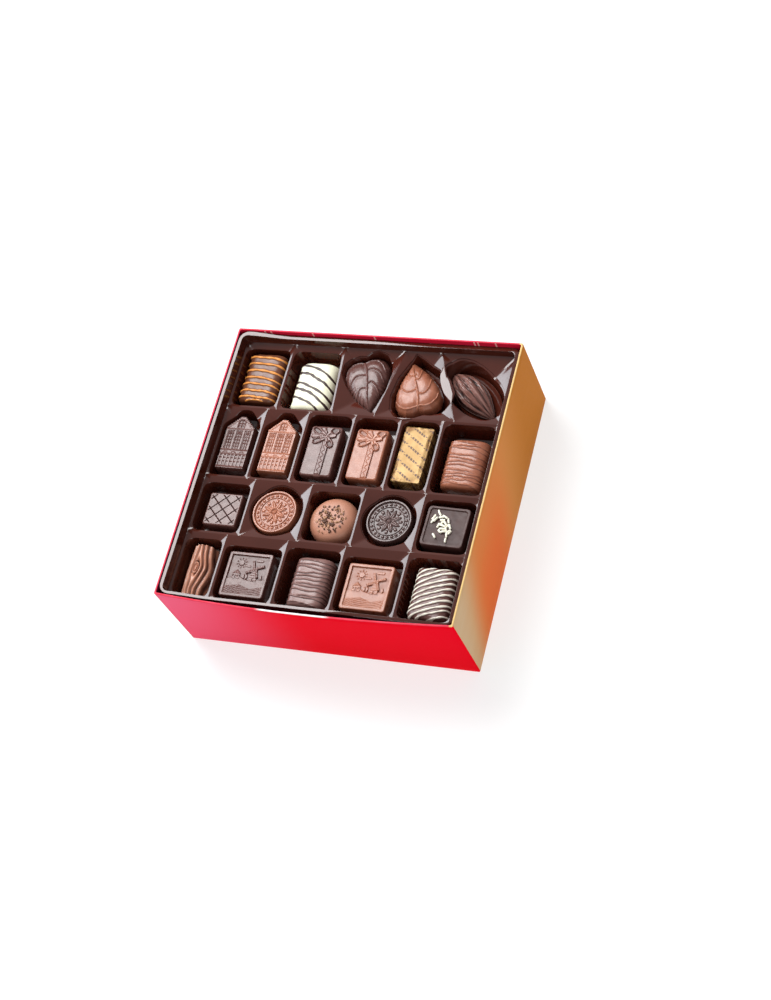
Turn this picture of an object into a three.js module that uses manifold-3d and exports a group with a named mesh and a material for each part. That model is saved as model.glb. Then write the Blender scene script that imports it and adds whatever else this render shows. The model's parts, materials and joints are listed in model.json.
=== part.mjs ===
// An open gift carton of twenty-one chocolate pralines in a formed plastic tray, in millimetres, +Z up.
// The origin is the middle of the carton's underside, +X runs to the right and +Y to the back.

import * as THREE from "three";
import { mergeVertices } from "three/addons/utils/BufferGeometryUtils.js";
import Module from "manifold-3d";

const wasm = await Module();
wasm.setup();

// Driving dimensions of the carton and the tray
const carton = { width: 200, length: 199, height: 67, card: 1.2, rimBulge: 3.5 };
const clearance = 0.3;
const tray = {
  lipHeight: 63.6,
  deckHeight: 58,
  skin: 1,
  cornerRadius: 7,
  slope: 25,
  ridge: 0.5,
  draft: 0.6,
  slabDepth: 7,
};
const pralineTop = 57;
const relief = 0.7;

const outerHalf = {
  x: carton.width / 2 - carton.card - clearance,
  y: carton.length / 2 - carton.card - clearance,
};
const deck = { left: -96.2, right: 94.8, front: -95.6, back: 94.4 };

const material = (color, roughness, metalness = 0) =>
  new THREE.MeshStandardMaterial({ color, roughness, metalness });
const finishes = {
  card: material(0xd8102a, 0.35),
  tray: material(0x2a1512, 0.25),
  dark: material(0x3b1e18, 0.35),
  milk: material(0x8a4a30, 0.4),
  white: material(0xf2ecc4, 0.4),
  foil: material(0xd8b25a, 0.3, 1),
};

const point = (x, y) => new THREE.Vector2(x, y);
const radians = THREE.MathUtils.degToRad;

// Numbers that look random but are the same in every run
function seededRandom(seed) {
  let state = seed;
  return () => {
    state = (state * 16807) % 2147483647;
    return state / 2147483647;
  };
}

// Turns a closed geometry into a solid that can be joined and cut.
function asSolid(geometry) {
  const bare = geometry.index ? geometry.toNonIndexed() : geometry.clone();
  bare.deleteAttribute("normal");
  bare.deleteAttribute("uv");
  const merged = mergeVertices(bare, 1e-4);
  return new wasm.Manifold(
    new wasm.Mesh({
      numProp: 3,
      vertProperties: merged.attributes.position.array,
      triVerts: new Uint32Array(merged.index.array),
    }),
  );
}

// Turns a solid into a named mesh.
function asMesh(name, solid, finish) {
  const { vertProperties, triVerts } = solid.getMesh();
  const geometry = new THREE.BufferGeometry();
  geometry.setAttribute("position", new THREE.BufferAttribute(vertProperties, 3));
  geometry.setIndex(new THREE.BufferAttribute(triVerts, 1));
  geometry.computeVertexNormals();
  const mesh = new THREE.Mesh(geometry, finish);
  mesh.name = name;
  return mesh;
}

const joined = (solids) => solids.reduce((whole, piece) => whole.add(piece));

// A polygon whose corners are rounded by curves that start at the given distance from each corner.
function roundedOutline(corners, radius, steps = 2) {
  const count = corners.length;
  const outline = [];
  corners.forEach((corner, i) => {
    const before = corners[(i + count - 1) % count];
    const after = corners[(i + 1) % count];
    const start = corner.clone().lerp(before, radius / corner.distanceTo(before));
    const end = corner.clone().lerp(after, radius / corner.distanceTo(after));
    outline.push(...new THREE.QuadraticBezierCurve(start, corner, end).getPoints(steps));
  });
  return outline;
}

const rectangle = (left, right, front, back) => [
  point(left, front),
  point(right, front),
  point(right, back),
  point(left, back),
];
const centredRectangle = (width, length) =>
  rectangle(-width / 2, width / 2, -length / 2, length / 2);

function circleOutline(centre, radius, count, squash = 1) {
  return Array.from({ length: count }, (_, i) => {
    const angle = (2 * Math.PI * i) / count;
    return point(
      centre.x + radius * Math.cos(angle),
      centre.y + radius * squash * Math.sin(angle),
    );
  });
}

function middleOf(outline) {
  const box = new THREE.Box2().setFromPoints(outline);
  return { middle: box.getCenter(point(0, 0)), size: box.getSize(point(0, 0)) };
}

// An outline pulled in on every side by about the given distance, or let out where it is negative.
function pulledIn(outline, distance) {
  const { middle, size } = middleOf(outline);
  return outline.map((p) =>
    point(
      middle.x + (p.x - middle.x) * (1 - (2 * distance) / size.x),
      middle.y + (p.y - middle.y) * (1 - (2 * distance) / size.y),
    ),
  );
}

const turned = (outline, degrees, to = point(0, 0)) =>
  outline.map((p) => p.clone().rotateAround(point(0, 0), radians(degrees)).add(to));

const levelRing = (outline, z) => outline.map((p) => new THREE.Vector3(p.x, p.y, z));

// A closed solid through rings of equally many points, with an end face on the first and the last ring.
// flatten gives a ring's point in the plane of the rings. Seen from the last ring they run counter-clockwise.
function loft(rings, flatten = (p) => point(p.x, p.y)) {
  const count = rings[0].length;
  const faces = [];
  for (let r = 0; r < rings.length - 1; r++)
    for (let i = 0; i < count; i++) {
      const [a, b] = [r * count + i, r * count + ((i + 1) % count)];
      faces.push(a, b, b + count, a, b + count, a + count);
    }
  const last = (rings.length - 1) * count;
  const firstCap = THREE.ShapeUtils.triangulateShape(rings[0].map(flatten), []);
  const lastCap = THREE.ShapeUtils.triangulateShape(rings.at(-1).map(flatten), []);
  firstCap.forEach(([a, b, c]) => faces.push(a, c, b));
  lastCap.forEach(([a, b, c]) => faces.push(last + a, last + b, last + c));
  const geometry = new THREE.BufferGeometry().setFromPoints(rings.flat());
  geometry.setIndex(faces);
  return asSolid(geometry);
}

// A solid with one outline from a lower to an upper level, pulled in at the top by the taper.
const block = (outline, low, high, taper = 0) =>
  loft([levelRing(outline, low), levelRing(pulledIn(outline, taper), high)]);

// A straight bar of rectangular section from one point to another.
function bar(from, to, width, low, high) {
  const length = from.distanceTo(to);
  const angle = Math.atan2(to.y - from.y, to.x - from.x);
  const outline = centredRectangle(length, width).map((p) =>
    p.rotateAround(point(0, 0), angle).add(from.clone().lerp(to, 0.5)),
  );
  return block(outline, low, high);
}

// A thin strip of a curve, with a width that tapers from its start to its end.
function strip(curvePoints, startWidth, endWidth, low, high, steps = 5) {
  const curve = new THREE.SplineCurve(curvePoints);
  const [left, right] = [[], []];
  for (let i = 0; i <= steps; i++) {
    const at = curve.getPoint(i / steps);
    const along = curve.getTangent(i / steps);
    const half = THREE.MathUtils.lerp(startWidth, endWidth, i / steps) / 2;
    left.push(point(at.x - along.y * half, at.y + along.x * half));
    right.unshift(point(at.x + along.y * half, at.y - along.x * half));
  }
  return block([...left, ...right].reverse(), low, high);
}

// Enrobed log pralines

const logSection = { baseInset: 1.2, bellyHeight: 2, shoulder: 5.5 };

// One cross-section of a log, a closed loop in X and Z, let out by a swell where drizzle runs over it.
function logLoop(width, height, swell) {
  const { baseInset, bellyHeight, shoulder } = logSection;
  const half = width / 2;
  const right = [
    [half - 4.4, height - 0.5],
    [half - 1.6, height - 2.2],
    [half - 0.3, height - shoulder],
    [half, bellyHeight],
    [half - baseInset, 0],
  ];
  const loop = [...right.map(([x, z]) => [-x, z]).reverse(), [0, height], ...right];
  return loop.map(([x, z]) => {
    if (z === 0) return [x, z];
    const away = point(x, z - height * 0.45).setLength(swell);
    return [x + away.x, z + away.y];
  });
}

// A log along Y. Its cross-sections stand at stations, each with a place along the log, an inset and a swell.
// course gives how far a point of a station lies ahead, from its x, so that stripes can slant or sag.
function logBody(width, height, stations, course) {
  const rings = stations.map(({ at, inset, swell }) =>
    logLoop(width - 2 * inset, height - inset, swell).map(
      ([x, z]) => new THREE.Vector3(x, at + course(x, at), z),
    ),
  );
  return loft(rings, (p) => point(-p.x, p.z));
}

function stripeStations(places, halfWidth, swell) {
  return places.flatMap((at) => [
    { at: at - halfWidth, inset: 0, swell: 0 },
    { at, inset: 0, swell },
    { at: at + halfWidth, inset: 0, swell: 0 },
  ]);
}

const spread = (count, from, to, wobble = () => 0) =>
  Array.from({ length: count }, (_, i) => from + ((to - from) * i) / (count - 1) + wobble(i));

function roundEnd(end, sign) {
  return [
    { at: sign * end, inset: 3, swell: 0 },
    { at: sign * (end - 0.9), inset: 1.2, swell: 0 },
    { at: sign * (end - 2.6), inset: 0, swell: 0 },
  ];
}

// A log with stripes straight across it, which sag a little to one side.
function stripedLog({ width, length, height, stripes, stripeHalf, swell, sag = 0.004, seed = 3 }) {
  const random = seededRandom(seed);
  const end = length / 2;
  const reach = end - 2.6 - stripeHalf - 0.7;
  const places = spread(stripes, -reach, reach, () => (random() - 0.5) * 0.35);
  const fade = (at) => 1 - (at / end) ** 2;
  const course = (x, at) => -sag * (x + width / 4) ** 2 * fade(at);
  const stations = [
    ...roundEnd(end, -1),
    ...stripeStations(places, stripeHalf, swell),
    ...roundEnd(end, 1).reverse(),
  ];
  return logBody(width, height, stations, course);
}

// A log with slanting stripes: a long slanted bar, cut to the log's own rounded envelope.
function slantStripedLog({ width, length, height, stripes, stripeHalf, swell, slant }) {
  const end = length / 2;
  const run = end + (Math.abs(slant) * width) / 2 + 2;
  const barStations = [
    { at: -run - 3, inset: 0, swell: 0 },
    ...stripeStations(spread(stripes, -run, run), stripeHalf, swell),
    { at: run + 3, inset: 0, swell: 0 },
  ];
  const slanted = logBody(width, height, barStations, (x) => slant * x);
  const envelope = logBody(
    width + 2 * swell + 0.2,
    height + swell + 0.1,
    [...roundEnd(end, -1), ...roundEnd(end, 1).reverse()],
    () => 0,
  );
  return slanted.intersect(envelope);
}

// Leaf pralines

// Half of a heart-shaped leaf from its tip at the bottom to its notch, as shares of its width and length
const leafHalf = [
  [0, -0.5],
  [0.14, -0.39],
  [0.34, -0.17],
  [0.48, 0.08],
  [0.5, 0.26],
  [0.42, 0.4],
  [0.28, 0.48],
  [0.12, 0.47],
  [0, 0.39],
];

function leafOutline(width, length) {
  const right = leafHalf.map(([x, y]) => point(x * width, y * length));
  const left = right
    .slice(1, -1)
    .map((p) => point(-p.x, p.y))
    .reverse();
  return [...right, ...left];
}

function leafCore(width, length, height, lift) {
  const outline = leafOutline(width, length);
  const levels = [
    [0.4, 0],
    [0, 1.2],
    [0.7, height - 5],
    [2, height - 2.2],
    [6, height - 0.4],
  ];
  return loft(
    levels.map(([inset, z]) => levelRing(pulledIn(outline, inset), z + (z > 2 ? lift : 0))),
  );
}

// A domed leaf with a raised middle vein and curved side veins.
function leaf({ width, length, height }) {
  const at = (x, y) => point(x * width, y * length);
  const top = height + 5;
  const middle = strip([at(0.02, 0.38), at(-0.02, 0.1), at(0.02, -0.42)], 1.5, 0.8, 2, top, 4);
  const sideVeins = [-1, 1].flatMap((side) =>
    [0.22, 0, -0.2].map((start, i) => {
      const reach = [0.4, 0.36, 0.22][i];
      return strip(
        [
          at(0, start),
          at(side * reach * 0.55, start + 0.06),
          at(side * reach, start - 0.1),
          at(side * reach * 1.02, start - 0.2),
        ],
        1,
        0.6,
        2,
        top,
        4,
      );
    }),
  );
  const veins = joined([middle, ...sideVeins]);
  return leafCore(width, length, height, 0).add(
    leafCore(width - 0.6, length - 0.6, height, relief * 0.8).intersect(veins),
  );
}

// A cocoa pod lying on its side, with a pointed end and ribs along it.
function cocoaPod({ width, length, height, ribs = 5 }) {
  const stations = 10;
  const around = 4 * ribs;
  const rings = Array.from({ length: stations + 1 }, (_, s) => {
    const share = THREE.MathUtils.lerp(0.03, 0.97, s / stations);
    const girth = Math.sin(Math.PI * share ** 1.1) ** 0.8;
    const loop = [];
    for (let i = 0; i <= around; i++) {
      const angle = Math.PI * (1 - i / around);
      const ridge = 1 + 0.07 * Math.cos(2 * ribs * angle);
      const z = height * (0.12 + 0.88 * Math.sin(angle) * girth * ridge);
      loop.push(
        new THREE.Vector3(
          (width / 2) * girth * ridge * Math.cos(angle),
          length * (share - 0.5),
          Math.min(z, height),
        ),
      );
    }
    const base = (width / 2) * girth * 0.8;
    loop.push(new THREE.Vector3(base, length * (share - 0.5), 0));
    loop.push(new THREE.Vector3(-base, length * (share - 0.5), 0));
    return loop;
  });
  return loft(rings, (p) => point(-p.x, p.z));
}

// A town house with a stepped gable, its front facing up, with sunk window panes.
function gabledHouse({ width, length, height, steps = 5 }) {
  const half = width / 2;
  const eave = length / 2 - 0.23 * length;
  const peakHalf = 0.1 * width;
  const outline = [point(-half, -length / 2), point(half, -length / 2), point(half, eave)];
  const rise = (length / 2 - eave) / steps;
  const run = (half - peakHalf) / steps;
  for (let i = 1; i <= steps; i++) {
    const y = eave + rise * i;
    outline.push(point(half - run * (i - 1) - run * 0.55, y - rise * 0.4));
    outline.push(point(half - run * i, y));
  }
  const mirrored = outline.slice(3).map((p) => point(-p.x, p.y));
  outline.push(...mirrored.reverse(), point(-half, eave));
  const body = loft([
    levelRing(pulledIn(outline, -0.9), 0),
    levelRing(pulledIn(outline, -0.8), 1.5),
    levelRing(outline, height),
  ]);
  const panes = [];
  const bay = (width - 2.4) / 3;
  const storeys = [
    { low: -length / 2 + 1.4, high: -0.2 * length },
    { low: -0.12 * length, high: 0.19 * length },
  ];
  storeys.forEach(({ low, high }) => {
    for (let i = 0; i < 3; i++) {
      const left = -half + 1.2 + i * bay;
      for (const shift of [0.14, 0.56])
        panes.push(
          rectangle(left + shift * bay, left + (shift + 0.3) * bay, low + 0.5, high - 0.5),
        );
    }
  });
  for (const side of [-1, 1]) {
    const [inner, outer] = [side * 0.3, side * 1.7].sort((a, b) => a - b);
    panes.push(rectangle(inner, outer, eave + 0.8, eave + 5));
  }
  const courses = [-0.16 * length, eave - 0.8].map((y) =>
    bar(point(-half + 0.8, y), point(half - 0.8, y), 0.9, height - 0.5, height + 0.5),
  );
  const sunk = joined(panes.map((pane) => block(pane, height - relief, height + 1)));
  return body.subtract(sunk).add(joined(courses));
}

// A parcel with a ribbon down its length and a bow near its back edge.
function giftParcel({ width, length, height }) {
  const shape = roundedOutline(centredRectangle(width, length), 1.8, 2);
  const shell = (grow) =>
    loft([
      levelRing(pulledIn(shape, 0.2 - grow), 0),
      levelRing(pulledIn(shape, 0.3 - grow), height - 1.2),
      levelRing(pulledIn(shape, 1.1 - grow), height + grow),
    ]);
  const ribbonX = 1.6;
  const knot = point(ribbonX, length * 0.27);
  const ribbon = bar(point(ribbonX, -length), knot, 4.2, 0, height + 3).intersect(shell(relief));
  const bowPetals = [
    { angle: 112, length: 9.5, spread: 2.6, lift: 1 },
    { angle: 152, length: 11.5, spread: 3.4, lift: 1.3 },
    { angle: 200, length: 11, spread: 3.2, lift: 0.9 },
    { angle: 44, length: 9, spread: 2.6, lift: 1 },
    { angle: 305, length: 8.2, spread: 2.4, lift: 1.2 },
  ];
  const petals = bowPetals.map(({ angle, length: reach, spread: half, lift }) => {
    const curve = new THREE.SplineCurve([
      point(0, 0),
      point(reach * 0.45, half * 0.75),
      point(reach * 0.85, half),
      point(reach, 0),
    ]);
    const side = curve.getPoints(4);
    const outline = [...side.map((p) => point(p.x, -p.y)), ...side.slice(1, -1).reverse()];
    const placed = turned(outline, angle, knot);
    const trimmed = placed.map((p) =>
      point(
        THREE.MathUtils.clamp(p.x, -width / 2 + 0.1, width / 2 - 0.1),
        Math.min(p.y, length / 2 - 0.1),
      ),
    );
    return block(trimmed, height - 2, height + lift, 0.7);
  });
  const knotPiece = asSolid(
    new THREE.SphereGeometry(2.3, 8, 5).scale(1, 1, 0.6).translate(knot.x, knot.y, height + 0.4),
  );
  return joined([shell(0), ribbon, ...petals, knotPiece]);
}

// A bar folded in foil, with the wrapper's folded flaps at both ends.
function foilBar({ width, length, height }) {
  const shape = roundedOutline(centredRectangle(width, length), 1.4, 1);
  const body = loft([
    levelRing(pulledIn(shape, 0.5), 0),
    levelRing(shape, 2),
    levelRing(pulledIn(shape, 0.4), height - 1.6),
    levelRing(pulledIn(shape, 1.1), height),
  ]);
  const flaps = [-1, 1].map((sign) => {
    const end = (sign * length) / 2;
    const ring = (y) => [
      new THREE.Vector3(width * 0.42, y, 1.5),
      new THREE.Vector3(-width * 0.42, y, 1.5),
      new THREE.Vector3(0, y, height * 0.72),
    ];
    const rings = [ring(end - sign * 1.5), ring(end + sign * 0.45)];
    return loft(sign > 0 ? rings : rings.reverse(), (p) => point(-p.x, p.z));
  });
  const bottomFold = block(centredRectangle(width * 0.55, length + 0.5), 0.6, 1.6);
  return joined([body, bottomFold, ...flaps]);
}

// Moulded squares and rounds

// A moulded tablet with drafted sides and rounded corners, and a raised frame round its top where it has one.
function tablet({ width, length, height, corner = 1.6, frame = 0, frameHeight = 0.9 }) {
  const shape = roundedOutline(centredRectangle(width, length), corner, 2);
  const levels = [
    [0.2, 0],
    [0, 1],
    [0.7, height - 0.8],
    [1.3, height],
  ];
  const body = loft(levels.map(([inset, z]) => levelRing(pulledIn(shape, inset), z)));
  if (!frame) return body;
  const field = pulledIn(shape, 1.3 + frame);
  return body.subtract(
    loft([
      levelRing(pulledIn(field, 0.5), height - frameHeight),
      levelRing(field, height),
      levelRing(field, height + 1),
    ]),
  );
}

// A tablet crossed by grooves that make a lattice of diamonds.
function latticeTablet(size) {
  const { width, length, height } = size;
  const reach = width;
  const grooves = [-1, 0, 1].flatMap((step) => {
    const shift = (step * length) / 2.1;
    return [-1, 1].map((way) =>
      bar(
        point(-reach, shift - way * reach),
        point(reach, shift + way * reach),
        0.8,
        height - relief,
        height + 1,
      ),
    );
  });
  return tablet(size).subtract(joined(grooves));
}

// A round medallion with a raised rim, a band of beads and a rosette.
function medallion({ width, height, petals = 6, beads = 12 }) {
  const radius = width / 2;
  const segments = 24;
  const profile = [
    [0, 0],
    [radius - 0.6, 0],
    [radius, 1],
    [radius - 0.9, height],
    [radius - 1.7, height],
    [radius - 1.9, height - relief],
    [radius - 5.4, height - relief],
    [radius - 5.6, height - relief / 2],
    [radius - 6.2, height - relief],
    [0, height - relief],
  ].map(([x, y]) => point(x, y));
  const body = asSolid(new THREE.LatheGeometry(profile, segments).rotateX(Math.PI / 2));
  const petalPieces = Array.from({ length: petals }, (_, i) => {
    const angle = (2 * Math.PI * i) / petals;
    const reach = radius * 0.33;
    return asSolid(
      new THREE.OctahedronGeometry(1)
        .scale(reach * 0.7, 1.7, 1.1)
        .rotateZ(angle)
        .translate(reach * Math.cos(angle), reach * Math.sin(angle), height - relief),
    );
  });
  const beadPieces = Array.from({ length: beads }, (_, i) => {
    const angle = (2 * Math.PI * (i + 0.5)) / beads;
    const reach = radius - 3.3;
    return asSolid(
      new THREE.OctahedronGeometry(0.9)
        .rotateZ(angle)
        .translate(reach * Math.cos(angle), reach * Math.sin(angle), height - relief),
    );
  });
  return joined([body, ...petalPieces, ...beadPieces]);
}

// A dome with crushed cocoa nibs scattered over its middle.
function nibDome({ width, height, nibs = 18, seed = 11 }) {
  const radius = width / 2;
  const profile = [
    [0, 0],
    [radius - 1.8, 0],
    [radius - 0.3, 1.8],
    [radius, 4],
    [radius - 0.4, height * 0.6],
    [radius * 0.84, height * 0.84],
    [radius * 0.5, height * 0.97],
    [0, height],
  ].map(([x, y]) => point(x, y));
  const dome = asSolid(new THREE.LatheGeometry(profile, 24).rotateX(Math.PI / 2));
  const random = seededRandom(seed);
  const pieces = Array.from({ length: nibs }, () => {
    const away = radius * 0.62 * Math.sqrt(random());
    const angle = 2 * Math.PI * random();
    const size = 0.75 + 0.55 * random();
    const z = height - 0.12 * height * (away / (radius * 0.62)) ** 2;
    return asSolid(
      new THREE.OctahedronGeometry(size)
        .scale(1.2, 0.8, 0.7)
        .rotateX(random() * 2)
        .rotateZ(random() * 3)
        .translate(away * Math.cos(angle) - 0.8, away * Math.sin(angle) - 1, z),
    );
  });
  return joined([dome, ...pieces]);
}

// A framed tablet with short sugar strands lying across its field.
function strandTablet(size) {
  const { width, length, height, strands = 15, seed = 29 } = size;
  const random = seededRandom(seed);
  const level = height - 0.9;
  const pieces = Array.from({ length: strands }, (_, i) => {
    const share = i / (strands - 1) - 0.5;
    const run = 3 + 2 * random();
    return asSolid(
      new THREE.CylinderGeometry(0.85, 0.85, run, 4)
        .rotateZ((random() - 0.5) * 2.6)
        .translate(
          width * (-0.1 + 0.42 * share + (random() - 0.5) * 0.2),
          length * (-0.52 * share + (random() - 0.5) * 0.2),
          level,
        ),
    );
  });
  return joined([tablet(size), ...pieces]);
}

// A little log of bark: a half-round with wavy grain that parts round a knot.
function barkLog({ width, length, height }) {
  const [stations, around] = [10, 14];
  const rings = Array.from({ length: stations + 1 }, (_, s) => {
    const y = length * (s / stations - 0.5);
    const part = Math.exp(-((y / (length * 0.2)) ** 2));
    const bulge = 1 - 0.05 * (2 * (s / stations) - 1) ** 2;
    const loop = [];
    for (let i = 0; i <= around; i++) {
      const angle = Math.PI * (0.98 - (0.96 * i) / around);
      const across = Math.cos(angle);
      const grain = Math.cos(11 * (across - 0.22 * part * Math.sign(across - 0.05)) + 0.6);
      const swell = bulge * (1 + 0.045 * grain);
      loop.push(
        new THREE.Vector3(
          (width / 2 - 0.6) * swell * across,
          y,
          1 + (height - 1.6) * swell * Math.sin(angle),
        ),
      );
    }
    loop.push(new THREE.Vector3(width / 2 - 1.2, y, 0), new THREE.Vector3(-width / 2 + 1.2, y, 0));
    return loop;
  });
  const knot = new THREE.SphereGeometry(1, 10, 5).scale(1.7, 3.2, 1.1).translate(0.4, 1, height - 0.6);
  return loft(rings, (p) => point(-p.x, p.z)).add(asSolid(knot));
}

// A framed tablet with a low relief of hills, a cottage and a windmill.
function landscapeTablet(size) {
  const { height } = size;
  const low = height - 1.4;
  const field = height - 0.9;
  const ridgeLine = [point(-11.5, -3), point(-5, -1.2), point(2, -4), point(11.5, -2)];
  const hill = new THREE.SplineCurve(ridgeLine).getPoints(6).reverse();
  const hills = [point(-11.5, -11.5), point(11.5, -11.5), ...hill];
  const cottage = [point(-10, -3), point(-4, -3), point(-4, 0.6), point(-7, 3.4), point(-10, 0.6)];
  const mill = [point(2, -4), point(8, -4), point(6.8, 4), point(3.2, 4)];
  const hub = point(5, 4.4);
  const sails = [20, 110, 200, 290].map((angle) => {
    const way = point(Math.cos(radians(angle)), Math.sin(radians(angle)));
    return bar(hub, hub.clone().addScaledVector(way, 6), 1.3, low, field + 1);
  });
  return joined([
    tablet(size),
    block(hills, low, field + 0.35),
    block(cottage, low, field + 0.6, 0.2),
    block(mill, low, field + 0.7, 0.3),
    block(circleOutline(point(-5.5, 8.3), 2, 9), low, field + 0.4, 0.2),
    ...sails,
  ]);
}

// The lines between the tray's rows of cells, and each row's walls as [x at the back, x at the front]
const rowLines = [deck.back, 44.1, -8.5, -49.5, deck.front];
const wallsBetween = [
  [[-60.3, -60.3], [-23.8, -20.3], [19.3, 9], [44, 64.3]],
  [[-66, -66], [-35.8, -35.8], [-2.9, -2.9], [28.9, 28.9], [57.4, 57.4]],
  [[-59.3, -59.3], [-19, -19], [17.7, 17.7], [58.2, 58.2]],
  [[-67, -67], [-24.3, -24.3], [15.2, 15.2], [57.4, 57.4]],
];
const cellWalls = wallsBetween.map((walls) => [
  [deck.left, deck.left],
  ...walls,
  [deck.right, deck.right],
]);

// The pralines row by row: how each is made, its size, its place, its turn in degrees and its pocket.
// A pocket follows the cell, at a distance from its back line, or is a house, a ring, a leaf or an almond.
const log = { width: 27.6, length: 36.5, height: 17 };
const house = { width: 19.6, length: 38.4, height: 13 };
const parcel = { width: 22.4, length: 37.4, height: 14 };
const round = { width: 30.6, height: 12 };
const framed = { width: 31.4, length: 32.4, height: 12, frame: 1.5 };
const fineLines = { stripes: 8, stripeHalf: 0.6, swell: 0.35 };
const pralines = [
  [
    {
      name: "orange_striped_log",
      finish: "dark",
      size: log,
      solid: stripedLog({
        ...log,
        width: 28.8,
        length: 38,
        stripes: 7,
        stripeHalf: 0.9,
        swell: 0.7,
        sag: 0.006,
      }),
      at: [-78.3, 68.4],
      pocket: { back: 4.2 },
    },
    {
      name: "white_striped_log",
      finish: "white",
      size: log,
      solid: slantStripedLog({
        ...log,
        width: 27,
        length: 35.4,
        stripes: 7,
        stripeHalf: 0.8,
        swell: 0.5,
        slant: -0.5,
      }),
      at: [-40.2, 64.9],
      pocket: { back: 4.2 },
    },
    {
      name: "dark_leaf",
      finish: "dark",
      size: { width: 30, length: 42.5, height: 13.5 },
      make: leaf,
      at: [-3.4, 68.8],
      turn: 19,
      pocket: { leaf: { width: 35, length: 47, at: [-2.8, 69.2] } },
    },
    {
      name: "milk_leaf",
      finish: "milk",
      size: { width: 29.8, length: 39, height: 13.5 },
      make: leaf,
      at: [30.9, 70],
      turn: 198.2,
      pocket: { leaf: { width: 41, length: 48.6, at: [32.9, 69.8] } },
    },
    {
      name: "cocoa_pod",
      finish: "dark",
      size: { width: 19, length: 47.5, height: 14 },
      make: cocoaPod,
      at: [68, 70.2],
      turn: 48,
      pocket: { almond: { width: 33, length: 56, at: [71, 69.4] } },
    },
  ],
  [
    {
      name: "dark_house",
      finish: "dark",
      size: house,
      make: gabledHouse,
      at: [-81.5, 18],
      pocket: { house: true },
    },
    {
      name: "milk_house",
      finish: "milk",
      size: house,
      make: gabledHouse,
      at: [-51.4, 17.9],
      pocket: { house: true },
    },
    {
      name: "dark_gift",
      finish: "dark",
      size: parcel,
      make: giftParcel,
      at: [-20.6, 16.6],
      pocket: { back: 1.5 },
    },
    {
      name: "milk_gift",
      finish: "milk",
      size: parcel,
      make: giftParcel,
      at: [11.4, 16.8],
      pocket: { back: 1.5 },
    },
    {
      name: "gold_foil_bar",
      finish: "foil",
      size: { width: 20.4, length: 41, height: 14 },
      make: foilBar,
      at: [41.8, 19],
      turn: -1.5,
      pocket: { back: 1.5 },
    },
    {
      name: "milk_ribbed_log",
      finish: "milk",
      size: log,
      solid: stripedLog({ ...log, width: 28.4, length: 35, ...fineLines, seed: 5 }),
      at: [76.8, 16],
      pocket: { back: 1.5 },
    },
  ],
  [
    {
      name: "lattice_square",
      finish: "dark",
      size: { width: 24.6, length: 24.6, height: 13 },
      make: latticeTablet,
      at: [-76.3, -31.5],
      pocket: { back: 3.9 },
    },
    {
      name: "milk_medallion",
      finish: "milk",
      size: round,
      make: medallion,
      at: [-40.2, -29.7],
      pocket: { ring: 18.2 },
    },
    {
      name: "nib_dome",
      finish: "milk",
      size: { width: 31.2, height: 15 },
      make: nibDome,
      at: [-0.9, -29.9],
      pocket: { back: 3.9 },
    },
    {
      name: "dark_medallion",
      finish: "dark",
      size: round,
      make: medallion,
      at: [38.1, -28.8],
      pocket: { ring: 18.2 },
    },
    {
      name: "strand_square",
      finish: "dark",
      size: { width: 29.4, length: 28.6, height: 13, corner: 2.6, frame: 0.9 },
      make: strandTablet,
      at: [75.6, -29.4],
      turn: -1.5,
      pocket: { back: 3.2 },
    },
  ],
  [
    {
      name: "bark_log",
      finish: "milk",
      size: { width: 19.4, length: 35, height: 14 },
      make: barkLog,
      at: [-83, -74.5],
      pocket: { back: 3.9 },
    },
    {
      name: "dark_landscape",
      finish: "dark",
      size: framed,
      make: landscapeTablet,
      at: [-46.5, -75.5],
      pocket: { back: 6.2 },
    },
    {
      name: "dark_ribbed_log",
      finish: "dark",
      size: log,
      solid: stripedLog({ ...log, width: 26.6, length: 34.6, ...fineLines, sag: -0.003, seed: 8 }),
      at: [-3.8, -75.4],
      pocket: { back: 3.9 },
    },
    {
      name: "milk_landscape",
      finish: "milk",
      size: framed,
      make: landscapeTablet,
      at: [35.6, -75.4],
      pocket: { back: 5.8 },
    },
    {
      name: "white_striped_dark_log",
      finish: "dark",
      size: log,
      solid: slantStripedLog({
        ...log,
        length: 35.6,
        stripes: 13,
        stripeHalf: 0.9,
        swell: 0.5,
        slant: 0.36,
      }),
      at: [77.3, -74.6],
      pocket: { back: 2.8 },
    },
  ],
];

// The corners of a cell, counter-clockwise from its front left
function cellCorners(row, column) {
  const [left, right] = [cellWalls[row][column], cellWalls[row][column + 1]];
  const [back, front] = [rowLines[row], rowLines[row + 1]];
  return [point(left[1], front), point(right[1], front), point(right[0], back), point(left[0], back)];
}

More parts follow.
